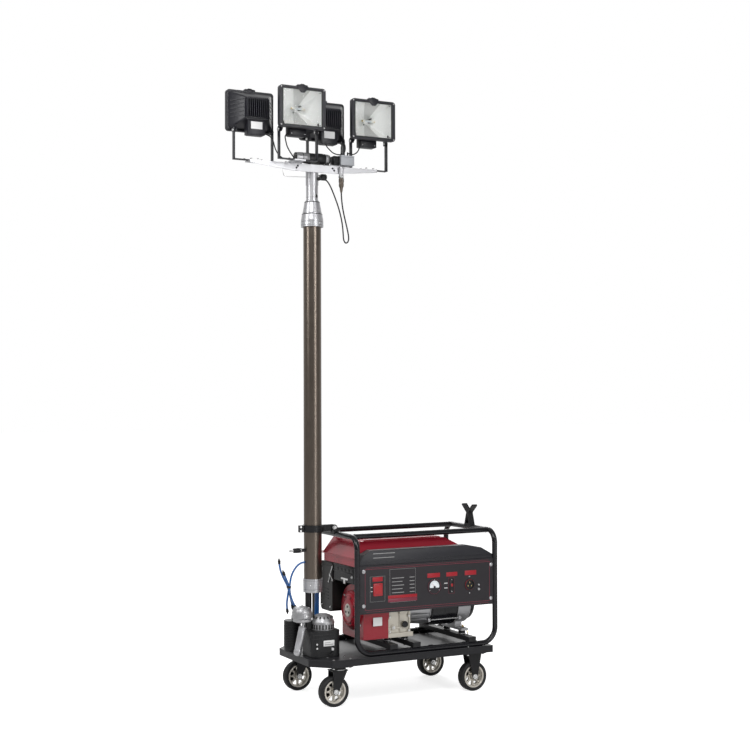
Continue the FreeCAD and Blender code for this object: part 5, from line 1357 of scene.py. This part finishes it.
def make_mast():
    """Bronze tube between silver collars, its clamp, hinge and air plug."""
    for node, name in (("mast_tube", "mast_bronze"), ("section_two", "mast_bronze"),
                       ("section_three", "silver"), ("mast_collars", "silver"),
                       ("section_two_collar", "silver"), ("mast_post", "bracket_black"),
                       ("mast_bracket", "bracket_black"), ("mast_clamp", "bracket_black"),
                       ("mast_rest_fork", "bracket_black"), ("air_plug", "black_plastic")):
        dress(node, name)
    collars = Piece("collar_details", "mast", "silver")
    for radius, z in ((48.5, 546), (48.5, 590), (56.5, 2371), (56.5, 2388)):
        groove(collars, radius, z)
    collars.loop_lathe(MAST + Z * 2425.4, Z, [(50.5, 0), (52.3, 0), (51.8, 3.4), (50.5, 3.4)], 64,
                       ink="rubber")
    collars.torus(MAST + Z * 2363.6, Z, 56, 0.8, 64)
    for number in range(6):
        way = way_round("Z", -70 + 60 * number)
        collars.screw(MAST + way * 56.1 + Z * 2380, way, 4.6)
        collars.screw(MAST + way * 48.2 + Z * 568, way, 4.2)
    collars.build()
    second = Piece("collar_two_details", "stage_two", "silver")
    second.loop_lathe(MAST + Z * 2485.6, Z, [(36, 0), (39.3, 0), (38.2, 4.6), (36, 4.6)], 64,
                      ink="rubber")
    groove(second, 44.6, 2454)
    for number in range(6):
        way = (way_round("Z", -70 + 60 * number) + Z * 0.18).normalized()
        second.screw(MAST + Vector((way.x, way.y, 0)) * 45.0 + Z * 2446, way, 4.0)
    second.build()
    neck = Piece("neck_details", "stage_three", "silver")
    hole_way = Vector((0.363, -0.932, 0))
    hole = MAST + Z * 2518
    neck.rod(hole + hole_way * 25, hole + hole_way * 30.4, 8.5, 24, ink="rubber")
    neck.torus(hole + hole_way * 29.2, hole_way, 8.8, 0.8, 24, ink="zinc")
    groove(neck, 30, 2512)
    neck.build()

    clamp = Piece("clamp_bolts", "mast", "bracket_black")
    for z in (839, 859):
        for face in (-1, 1):
            clamp.bolt((-306, 9 * face, z), Y * face, 6)
    clamp.build()
    hinge = Piece("hinge_bolt", "chassis", "bracket_black")
    place = pivot("mast_fold")
    for face in (-1, 1):
        hinge.bolt((place.x, 20.5 * face, place.z), Y * face, 11)
        hinge.bolt((-262, 14 * face, 529), Z, 3, washer=False)
    hinge.build()

    z = 742
    plug = Piece("air_plug_body", "mast", "black_plastic")
    plug.lathe((-280, 0, z), -X,
               [(8.6, 0), (8.6, 16), (10.5, 16.6), (10.5, 22), (12, 23), (12, 28), (11, 29),
                (11, 31), (12, 32), (12, 50), (11, 51), (11, 53), (12, 54), (12, 61), (10.6, 62.5),
                (7, 66)], 40)
    plug.lathe((-345, 0, z), -X, [(0, 0), (7, 0), (7, 1), (5, 5), (5, 19), (4.2, 21), (0, 21)], 24,
               ink="zinc")
    plug.lathe((-303, 0, z), -X, [(12, 0), (12.3, 0.6), (12.3, 3), (12, 3.6)], 40, ink="zinc")
    for number in range(20):
        plug.stub(Vector((-313, 0, z)) + way_round("X", 360 * number / 20) * 11.6, -X, 16, 0.9, 6)
    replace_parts(plug.build(), "air_plug")


# Head

def make_bar_details():
    """Bolts, rings and the bent wire loop of the light bar."""
    bits = Piece("bar_details", "head", "silver")
    for x in (-575, -540, -300, -176, 60, 100):
        bits.bolt((x, -20, BAR_TOP), Z, 6)
    for x, z in ((-339, 2652), (-131, 2652), (-332, 2662), (-140, 2662)):
        bits.bolt((x, -37, z), -Y, 5.5, ink="bracket_black")
    for x in (-370, -336, -138, -104):
        for y in (-24, 24):
            bits.bolt((x, y, BAR_TOP + 6), Z, 5.5)
    bits.torus(MAST + Z * 2576.2, Z, 31.2, 1.0, 56)
    bits.torus(MAST + Z * 2656, Z, 34.0, 1.6, 56)
    wire = [(-415, -35, 2652), (-414, -40, 2622), (-410, -41, 2604), (-392, -41, 2602),
            (-330, -40, 2606), (-262, -20, 2612)]
    bits.tube(line_of(wire), 1.6, 8, ink="zinc")
    bits.build()


def make_fittings():
    """Lock knob, cable gland and cable plug under the light bar."""
    seat = Vector((-201, 0, 2620))
    knob = Piece("lock_knob", "head", "black_plastic")
    knob.rod(seat - X * 6, seat, 8, 24, 0.6, ink="zinc")
    knob.lathe(seat, X,
               [(0, 0), (9, 0), (10, 2), (10, 10), (14.6, 13), (15.4, 15), (15.4, 38), (14, 41),
                (11, 42), (0, 42)], 48)
    for number in range(10):
        way = way_round("X", 360 * number / 10)
        knob.stub(seat + X * 14.5 + way * 14.4, X, 24.5, 2.1, 10, 0.8)
    way = way_round("Z", -52)
    base = MAST + Z * 2605
    knob.lathe(base + way * 31, way, [(9, 0), (9, 6), (7.4, 6.6), (7.4, 8)], 6)
    knob.lathe(base + way * 38, way, [(8.6, 0), (8.6, 5), (7.2, 9), (5.6, 13), (4.2, 14)], 24)
    plug = Vector((MAST.x + 140, -49, 2669))
    knob.lathe(plug, -Z,
               [(13, 0), (13.6, 1), (13.6, 8), (11.6, 9), (11.2, 12), (11.2, 38), (12.2, 39),
                (12.2, 42), (11.2, 43)], 40, ink="silver")
    knob.lathe(plug - Z * 43, -Z, [(11.2, 0), (14, 1), (14, 12), (11.4, 13)], 6, ink="zinc")
    knob.lathe(plug - Z * 56, -Z,
               [(11.2, 0), (12.6, 1.5), (12.6, 22), (11.6, 23), (11.6, 25), (12.6, 26), (12.6, 40),
                (11, 43), (8.2, 50), (7.6, 58), (6, 66), (4.2, 73)], 40, ink="mast_bronze")
    for number in range(14):
        way = way_round("Z", 360 * number / 14)
        knob.stub(plug - Z * 60 + way * 12.3, -Z, 16, 1.0, 8)
    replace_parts(knob.build(), "head_fittings")


def make_pan_motor():
    """Pan motor: a stepped barrel with grey bands, black rings and its saddles."""
    start = Vector((-335.8, -6, 2709))
    y, z = start.y, start.z
    foot = span("pan_motor")[0].z
    motor = Piece("pan_drive", "head", "black_plastic")
    for x, profile, ink in ((start.x,
                             [(20, 0), (24, 1.5), (25.4, 6), (26.4, 12), (27, 14), (27, 176),
                              (26.4, 178), (25.4, 184), (24, 188.5), (20, 190)], "bracket_black"),
                            (-332, [(25.6, 0), (26.8, 8), (27.4, 12), (27.4, 68), (26.8, 70)],
                             "grey_casting"),
                            (-218, [(28.4, 0), (29, 1), (29, 33), (28.4, 34)], "black_plastic"),
                            (-172,
                             [(26.8, 0), (27.5, 1), (27.5, 14), (26, 18), (22, 25.6), (0, 25.8)],
                             "grey_casting")):
        motor.lathe((x, y, z), X, profile, 64, ink=ink)
    for x in (-300, -262, -176):
        motor.loop_lathe((x, y, z), X, [(26, 0), (27.8, 0.6), (27.8, 3.4), (26, 4)], 64)
    for x in (-316, -166):
        motor.box((x - 11, y - 22, foot), (x + 11, y + 22, z - 6), 1.5, ink="bracket_black")
        for side in (-1, 1):
            motor.bolt((x, y + 17.5 * side, z - 9), Z, 4.6)
    motor.box((-262, y - 22, foot), (-206, y + 22, z - 12), 1.5, ink="bracket_black")
    for number in range(4):
        motor.screw(start + way_round("X", 45 + 90 * number) * 16, -X, 3.6)
    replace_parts(motor.build(), "pan_motor")


def make_control_box():
    """Light control box with its lid, screws and grooves, and the finned block beside it."""
    high = span("control_box")[1]
    low = Vector((high.x - 76, high.y - 60, BAR_TOP))
    box = Piece("head_box", "head", "black_plastic")
    box.box(low + Y * 0.6, high - Vector((0, 0.6, 8.5)), 3, ink="box_grey")
    box.box((low.x, low.y, high.z - 9), (high.x, high.y, high.z), 2.2, ink="box_grey")
    for x in (low.x + 8, high.x - 8):
        for y in (low.y + 8, high.y - 8):
            box.stub((x, y, high.z - 0.4), Z, 0.4, 3.4, 16, ink="zinc")
    for number in range(6):
        y = low.y + 8 + number * 8
        box.box((low.x - 0.2, y, low.z + 4), (low.x + 2, y + 3, high.z - 12), 0.6, ink="box_grey")
    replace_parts(box.build(), "control_box")
    fins = Piece("head_box_fins", "head", "bracket_black")
    fins.box(low + Vector((-36, 10, 0)), low + Vector((-4, 54, 40)), 2)
    for number in range(5):
        shift = -35 + number * 7
        fins.box(low + Vector((shift, 6, 2)), low + Vector((shift + 2.4, 57, 44)), 0.8)
    fins.box(low + Vector((-6, 16, 4)), low + Vector((1, 48, 34)), 1)
    fins.build()


def make_head():
    """Silver light bar with its fittings, the pan motor and the light control box."""
    dress("light_bar", "silver")
    dress("head_socket", "silver")
    make_bar_details()
    make_fittings()
    make_pan_motor()
    make_control_box()


# Lamps, each drawn about its tilt joint with its window towards -Y

LAMP_MIDDLE = 105.5  # the window's middle above the joint
SIDES = (-1, 1)


def lamp_loop(width, height, radius, level):
    """A rounded rectangle round a lamp's window axis."""
    return rounded_loop(width, height, radius, level, 6, (0, LAMP_MIDDLE))


def make_lamp_shell(name, turn):
    """A lamp's casting: front frame, tapered body, fins, junction box, ears and clip."""
    shell = Piece(f"flood_{name}", f"lamp_{name}", "lamp_black", turn)
    loops = [lamp_loop(*row) for row in (  # width, height, corner radius, y
        (214, 180, 6, -38), (214, 180, 6, -60), (217, 183, 7, -62), (246, 201, 14, -62),
        (250, 205, 16, -60), (250, 205, 16, -46), (247, 202, 15, -44.6), (250, 205, 16, -43.2),
        (250, 205, 16, -37.5), (248, 203, 15, -36), (230, 184, 13, -36), (228, 182, 12, -30),
        (132, 113, 8, 48), (128, 110, 7, 50))]
    shell.loft(loops, False)
    shell.loft([loops[-1], [point + Y * 0.01 for point in loops[-1]]])
    shell.box((-60, 47, 55.5), (60, 56, 155.5), 1.5)
    for number in range(11):
        x = (number - 5) * 11
        shell.box((x - 2, 50, 60.5), (x + 2, 74, 150.5), 1.2)
    for side in SIDES:
        for number in range(5):
            z = 66 + number * 20
            shell.loft([[(side * (108 + proud), -22, z), (side * (108 + proud), -22, z + 4),
                         (side * (66 + proud), 46, z + 4), (side * (66 + proud), 46, z)]
                        for proud in (0, 4)])
    junction = [(-2, -24), (48, -24), (48, 50), (44, 50), (-2, 29)]
    shell.slab([(-46, y, z) for y, z in junction], [], X * 92, 2.5)
    shell.box((-40, 2, -26), (40, 44, -23), 1)
    shell.box((-40, -3.2, -18), (40, -1, 20), 0.8)
    for x in (-35, 35):
        for z in (-14, 16):
            shell.screw((x, -3, z), -Y, 3.6)
    ear = [(-40, 15), (-12, -10), (12, -10), (12, 14), (-2, 37), (-40, 37)]
    for start in (-96, 91):
        shell.slab([(start, y, z) for y, z in ear], [], X * 5, 0.6)
    for side_x in SIDES:
        for side_z in SIDES:
            shell.screw((side_x * 115, -61.6, LAMP_MIDDLE + side_z * 93), -Y, 4.2)
    shell.box((-28, -60, 204), (28, -38, 216), 1.5)
    clip = [(-30, 209), (30, 209), (23, 193), (9, 178), (-9, 178), (-23, 193)]
    shell.slab([(x, -62.5, z) for x, z in clip], [], Y * 3.4, 0.8)
    crest = [(-25, 213), (25, 213), (7, 222), (-7, 222)]
    shell.slab([(x, -57, z) for x, z in crest], [], Y * 15, 1.2)
    shell.stub((-24, -49, 217), X, 48, 3, 12, 0.5, ink="zinc")
    if name.startswith("back"):
        shell.box((-30, 47.4, 4), (30, 48.8, 40), 0.3, ink="label_white")
    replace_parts(shell.build(34), f"lamp_housing_{name}")


def dimple(piece, corners, lift, ink):
    """A four-sided facet raised to a point in its middle."""
    piece.add(corners + [sum(corners, Vector()) / 4 + Y * lift],
              [[0, 1, 4], [1, 2, 4], [2, 3, 4], [3, 0, 4]], ink)


def make_optics(name, turn):
    """Hammered reflector, its back, the window's edge and the tube with its holders."""
    optics = Piece(f"optics_{name}", f"lamp_{name}", "silver", turn)
    front_w, front_h, front_y = 210, 176, -50
    back_w, back_h, back_y, back_z = 34, 20, 34, LAMP_MIDDLE + 4
    steps, bowl_power = 7, 0.8

    def bowl_point(start, end, u, v):
        """A point of one wall: u across it, from its start to its end, and v into the lamp."""
        width = front_w + (back_w - front_w) * v
        height = front_h + (back_h - front_h) * v
        middle_z = LAMP_MIDDLE + (back_z - LAMP_MIDDLE) * v
        return Vector(((start[0] + (end[0] - start[0]) * u) * width / 2,
                       front_y + (back_y - front_y) * v ** bowl_power,
                       middle_z + (start[1] + (end[1] - start[1]) * u) * height / 2))

    corners = [(-1, -1), (1, -1), (1, 1), (-1, 1)]
    for index in range(4):
        start, end = corners[index], corners[(index + 1) % 4]
        for row in range(steps):
            for column in range(steps):
                quad = [bowl_point(start, end, (column + right) / steps, (row + deep) / steps)
                        for right, deep in ((0, 0), (1, 0), (1, 1), (0, 1))]
                # The middle cells of the bottom and top walls get painted shade: a darker copy of
                # the reflector finish
                painted_shade = index % 2 == 0 and 0.3 < (column + 0.5) / steps < 0.7
                dimple(optics, quad, 1, "reflector_painted_shade" if painted_shade else "reflector")
    for row in range(4):
        for column in range(5):
            x0, x1 = (back_w * (edge / 5 - 0.5) for edge in (column, column + 1))
            z0, z1 = (back_z + back_h * (edge / 4 - 0.5) for edge in (row, row + 1))
            dimple(optics,
                   [Vector((x, back_y, z)) for x, z in ((x0, z0), (x1, z0), (x1, z1), (x0, z1))],
                   2.5, "reflector")
    for low_z in (LAMP_MIDDLE - 89, LAMP_MIDDLE + 87):  # the window's lower and upper edge
        optics.box((-106, -51.5, low_z), (106, -50, low_z + 2), 0.4)
    for side_x in SIDES:
        for side_z in SIDES:
            optics.screw((side_x * 97, -51, LAMP_MIDDLE + side_z * 80), -Y, 3, ink="black_plastic")
    for side in SIDES:
        for start, end, radius, sides, edge, ink in (
                ((20, 4, 0), (32, 4, 0), 7, 20, 1, "ceramic"),
                ((32, 4, 0), (36, 4, 0), 5, 12, 0, "brass"),
                ((27, 6, 0), (15, 33, 0), 4, 10, 0, "black_plastic"),
                ((14, 26, 15 * side), (22, 10, 17 * side), 3.4, 10, 0, "black_plastic")):
            optics.rod((start[0] * side, start[1], back_z + start[2]),
                       (end[0] * side, end[1], back_z + end[2]), radius, sides, edge, ink=ink)
    optics.rod((-20, 4, back_z), (20, 4, back_z), 4.5, 20, 2, ink="dial_white")
    optics.build(20)


def make_lamp(name):
    """One floodlight: shell, optics, window and gasket."""
    facing = Matrix.Rotation(math.pi if name.startswith("back") else 0, 4, "Z")
    turn = Matrix.Translation(pivot(f"tilt_{name}")) @ facing
    make_lamp_shell(name, turn)
    make_optics(name, turn)
    pane = Piece(f"pane_{name}", f"lamp_{name}", "lamp_glass", turn)
    pane.loft([lamp_loop(*row)
               for row in ((212, 178, 5, -59), (213, 179, 5.5, -58.6), (213, 179, 5.5, -55.4),
                           (212, 178, 5, -55))])
    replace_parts(pane.build(), f"lamp_glass_{name}")
    gasket = Piece(f"gasket_{name}", f"lamp_{name}", "lamp_black", turn)
    gasket.slab(lamp_loop(216, 182, 6, -60.4), [lamp_loop(208, 174, 5, -60.4)], Y * 1.2,
                ink="rubber")
    gasket.build()


def make_lamps():
    """Four floodlights and their brackets."""
    brackets = Piece("yokes", "head", "lamp_black")
    for name in LAMPS:
        make_lamp(name)
        x, y, z = pivot(f"tilt_{name}")
        low = z - 145
        brackets.box((x - 104, y - 15, low), (x + 104, y + 15, low + 4), 0.8)
        for side in SIDES:
            inner, outer = sorted((x + side * 100, x + side * 104))
            brackets.box((inner, y - 15, low + 2), (outer, y + 15, z + 6), 0.8)
            brackets.rod((inner, y, z + 4), (outer, y, z + 4), 15, 32, 0.8)
            pin_end = x + side * 104.2
            brackets.rod((x + side * 90, y, z), (pin_end, y, z), 5, 20, ink="zinc")
            brackets.bolt((pin_end, y, z), X * side, 8)
            for spot in (-46, 46):
                brackets.bolt((x + spot, y, low + 4), Z, 6.5)
    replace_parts(brackets.build(), "lamp_brackets")


# Cords

HEAD_CABLE = ((-97, -49, 2540), (-96, -49, 2506), (-88, -49, 2452), (-75, -50, 2398),
              (-62, -51, 2346), (-56, -51, 2312), (-61, -52, 2291), (-77, -53, 2284),
              (-88, -54, 2302), (-90, -55, 2336), (-96, -56, 2388), (-111, -58, 2444),
              (-131, -61, 2496), (-174, -67.8, 2583), (-196.4, -52, 2605), (-205, -41, 2605))
HOSES = ((-210, 14, 231), (-204, 22, 327), (-209, 18, 421), (-212, 10, 526))
SPARE_HOSES = {
    "from_mast": ((-282.5, 0, 682), (-301, 0, 681.6), (-327, 8, 660), (-347, 15, 622),
                  (-356.5, 16.5, 575), (-356.5, 16.5, 532), (-341, 18, 486), (-323, 20, 456)),
    "middle_up": ((-357.5, 27, 562), (-361, 27, 578), (-374, 28, 606), (-384, 29, 632)),
    "middle_down": ((-357.2, 27, 562), (-357, 27, 548), (-363, 30, 508), (-367, 32, 468),
                    (-362, 33, 438)),
    "outer_up": ((-361, 37.5, 566), (-367, 37.5, 578), (-388, 38.5, 618), (-402, 39, 658),
                 (-404, 39, 690)),
    "outer_down": ((-361, 37.5, 566), (-356, 37.5, 552), (-345, 39, 514), (-336, 40, 480),
                   (-331, 40, 454)),
}
# Each lead: its points on the head, from the mast's axis and the bar's top, then those near its
# lamp, from the frame's origin
LEADS = {
    "back_outer": (((-23, -29.5, 3.4), (-56, -29.5, 4), (-80, -29.5, 9.6), (-139, -29.5, 9.6),
                    (-175, -31, 13), (-201, -36, 30), (-218, -38, 56), (-225, -38, 83)),
                   ((-467, -36, 2781), (-484, -28, 2803), (-511, -24, 2808))),
    "front_inner": (((-23, -22.5, 3.4), (-56, -22.5, 4), (-80, -22.5, 9.6), (-100, -24, 11),
                     (-118, -33, 26), (-141, -42, 48), (-159, -50, 71), (-165, -54, 86)),
                    ((-408, -58, 2782), (-412, -60, 2803), (-399, -60, 2812))),
    "back_inner": (((153, -22, 56), (153, -22, 80), (155, -19, 102), (161, -17, 118),
                    (176, -14, 118), (182, -12, 100), (181, -9, 80), (172, -7, 64), (152, -5, 61),
                    (132, -1, 63), (115, 6, 72), (105, 20, 90)),
                   ((-136, 38, 2784), (-136, 52, 2801))),
    "front_outer": (((193, -14, 56), (193, -14, 68), (200, 4, 79), (218, 24, 76), (243, 30, 74),
                     (263, 30, 83)),
                    ((38, 28, 2776), (44, 24, 2795))),
}


def make_head_cable(sizes):
    """The cable's loop from the plug under the light bar to the gland on the mast."""
    cable = round_cord(HEAD_CABLE, "cable_loop", sizes.cable, "cable_black")
    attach(cable, "head")
    line = line_of(HEAD_CABLE)
    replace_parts(cable, "head_cable")


def make_leads(sizes):
    """A lead from the light bar to each lamp, and its entry sleeve."""
    for name, (on_head, to_lamp) in LEADS.items():
        route = [Vector((MAST.x + x, y, BAR_TOP + z)) for x, y, z in on_head]
        route += [Vector(point) for point in to_lamp]
        line = line_of(route)
        lead = Piece(f"lead_{name}", None, "cable_black")
        lead.tube(line, sizes.lead / MM / 2, 12)
        thing = lead.build(60)
        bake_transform(thing)
        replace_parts(thing, "lamp_leads")
        sleeve = Piece(f"lead_entry_{name}", "head", "cable_black")
        way = (line[4] - line[0]).normalized()
        sleeve.rod(line[0] - way * 2, line[0] + way * 12, 5.2, 20, 0.6, 3.6)
        sleeve.build()


def make_mast_hoses(sizes):
    """Three twisted hoses from the mast's foot to the compressor."""
    count, turns, sides = 3, 0.25, 14
    radius = sizes.hose / MM / 2
    reach = radius * 1.155  # from the middle of three touching hoses to the middle of one
    line = line_of(HOSES)
    hoses = Piece("mast_hoses", "chassis", "hose_blue")
    for number in range(count):
        path = []
        for index, point in enumerate(line):
            ahead = (line[min(index + 1, len(line) - 1)] - line[max(index - 1, 0)]).normalized()
            across = (X - ahead * X.dot(ahead)).normalized()
            other = ahead.cross(across)
            angle = 2 * math.pi * (number / count + turns * index / (len(line) - 1))
            path.append(point + (across * math.cos(angle) + other * math.sin(angle)) * reach)
        hoses.tube(path, radius, sides)
    thing = hoses.build(60)
    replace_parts(thing, "hose_bundle")


def make_spare_hoses(sizes):
    """Spare hoses strapped beside the mast, each with a fitting on its end."""
    strap = Piece("spare_hose_strap", "mast", "cable_black")
    strap.box((-364, 11, 554), (-350, 43, 566), 2.5)
    strap.box((-367, 22, 557), (-362, 30, 563), 1)
    strap.build()
    radius = sizes.spare_hose / MM / 2
    for name, route in SPARE_HOSES.items():
        hose = round_cord(route, f"spare_hose_{name}", sizes.spare_hose, "hose_blue")
        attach(hose, "mast")
        line = line_of(route)
        way = (line[-1] - line[-2]).normalized()
        tip = Piece(f"hose_fitting_{name}", "mast", "cable_black")
        tip.lathe(line[-1] - way * 14, way,
                  [(radius + 1, 0), (radius + 1.6, 1), (radius + 1.6, 6), (radius + 0.8, 7),
                   (radius + 2, 8), (radius + 2, 18), (4, 19), (3.4, 27), (0, 27)], 20)
        end = tip.build()
        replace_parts(hose, "hose_hank")


def make_cords(sizes):
    """Cable at the head, leads to the lamps, hoses under the mast and the spare hoses."""
    make_head_cable(sizes)
    make_leads(sizes)
    make_mast_hoses(sizes)
    make_spare_hoses(sizes)


# Interface

class LIGHTTOWER_OT_finishes(bpy.types.Operator):
    """Make every material."""

    bl_idname = "lighttower.finishes"
    bl_label = "Finishes"

    def execute(self, context):
        wear_group()
        grain_group()
        make_finishes(context.scene.tower_colours)
        return {"FINISHED"}


class LIGHTTOWER_OT_stage(bpy.types.Operator):
    """Make the floor, the light and the camera."""

    bl_idname = "lighttower.stage"
    bl_label = "Stage"

    def execute(self, context):
        make_stage()
        return {"FINISHED"}


class LIGHTTOWER_OT_cords(bpy.types.Operator):
    """Make the cable, the leads and the hoses."""

    bl_idname = "lighttower.cords"
    bl_label = "Cords"

    def execute(self, context):
        make_cords(context.scene.tower_sizes)
        return {"FINISHED"}


class LIGHTTOWER_OT_wheels(bpy.types.Operator):
    """Make the tyres, wheel centres and casters."""

    bl_idname = "lighttower.wheels"
    bl_label = "Wheels"

    def execute(self, context):
        make_wheels()
        make_casters()
        return {"FINISHED"}


class LIGHTTOWER_OT_frame(bpy.types.Operator):
    """Dress the deck and the tube frame."""

    bl_idname = "lighttower.frame"
    bl_label = "Deck and frame"

    def execute(self, context):
        make_deck()
        make_tube_frame()
        return {"FINISHED"}


class LIGHTTOWER_OT_engine(bpy.types.Operator):
    """Make the engine and the alternator."""

    bl_idname = "lighttower.engine"
    bl_label = "Engine"

    def execute(self, context):
        make_engine()
        make_alternator()
        return {"FINISHED"}


class LIGHTTOWER_OT_tank(bpy.types.Operator):
    """Make the fuel tank and its cap."""

    bl_idname = "lighttower.tank"
    bl_label = "Tank"

    def execute(self, context):
        make_tank()
        return {"FINISHED"}


class LIGHTTOWER_OT_panel(bpy.types.Operator):
    """Make the control panel and its controls."""

    bl_idname = "lighttower.panel"
    bl_label = "Control panel"

    def execute(self, context):
        make_panel()
        return {"FINISHED"}


class LIGHTTOWER_OT_compressor(bpy.types.Operator):
    """Make the air compressor."""

    bl_idname = "lighttower.compressor"
    bl_label = "Compressor"

    def execute(self, context):
        make_compressor(context.scene.tower_sizes.fin_gap)
        return {"FINISHED"}


class LIGHTTOWER_OT_mast(bpy.types.Operator):
    """Make the telescopic mast and its hinge."""

    bl_idname = "lighttower.mast"
    bl_label = "Mast"

    def execute(self, context):
        make_mast()
        return {"FINISHED"}


class LIGHTTOWER_OT_head(bpy.types.Operator):
    """Make the light bar and what it carries."""

    bl_idname = "lighttower.head"
    bl_label = "Head"

    def execute(self, context):
        make_head()
        return {"FINISHED"}


class LIGHTTOWER_OT_lamps(bpy.types.Operator):
    """Make the four floodlights."""

    bl_idname = "lighttower.lamps"
    bl_label = "Lamps"

    def execute(self, context):
        make_lamps()
        return {"FINISHED"}


OPERATORS = (
    LIGHTTOWER_OT_finishes,
    LIGHTTOWER_OT_stage,
    LIGHTTOWER_OT_cords,
    LIGHTTOWER_OT_wheels,
    LIGHTTOWER_OT_frame,
    LIGHTTOWER_OT_engine,
    LIGHTTOWER_OT_tank,
    LIGHTTOWER_OT_panel,
    LIGHTTOWER_OT_compressor,
    LIGHTTOWER_OT_mast,
    LIGHTTOWER_OT_head,
    LIGHTTOWER_OT_lamps,
)


class LIGHTTOWER_PT_build(bpy.types.Panel):
    """Sizes, colours and the steps that build the light tower."""

    bl_idname = "LIGHTTOWER_PT_build"
    bl_label = "Light tower"
    bl_space_type = "VIEW_3D"
    bl_region_type = "UI"
    bl_category = "Light tower"

    def draw(self, context):
        for settings, names in ((context.scene.tower_sizes, TowerSizes.__annotations__),
                                (context.scene.tower_colours, TowerColours.__annotations__)):
            column = self.layout.column()
            for name in names:
                column.prop(settings, name)
        column = self.layout.column()
        for operator in OPERATORS:
            column.operator(operator.bl_idname)


CLASSES = (TowerSizes, TowerColours, *OPERATORS, LIGHTTOWER_PT_build)


def register():
    """Register the classes and hang the settings on the scene."""
    for kind in CLASSES:
        bpy.utils.register_class(kind)
    bpy.types.Scene.tower_sizes = bpy.props.PointerProperty(type=TowerSizes)
    bpy.types.Scene.tower_colours = bpy.props.PointerProperty(type=TowerColours)


def unregister():
    """Undo register."""
    del bpy.types.Scene.tower_colours
    del bpy.types.Scene.tower_sizes
    for kind in reversed(CLASSES):
        bpy.utils.unregister_class(kind)


def main():
    """Register and build everything in order."""
    register()
    for operator in OPERATORS:
        getattr(bpy.ops.lighttower, operator.bl_idname.split(".")[1])()


if __name__ == "__main__":
    main()
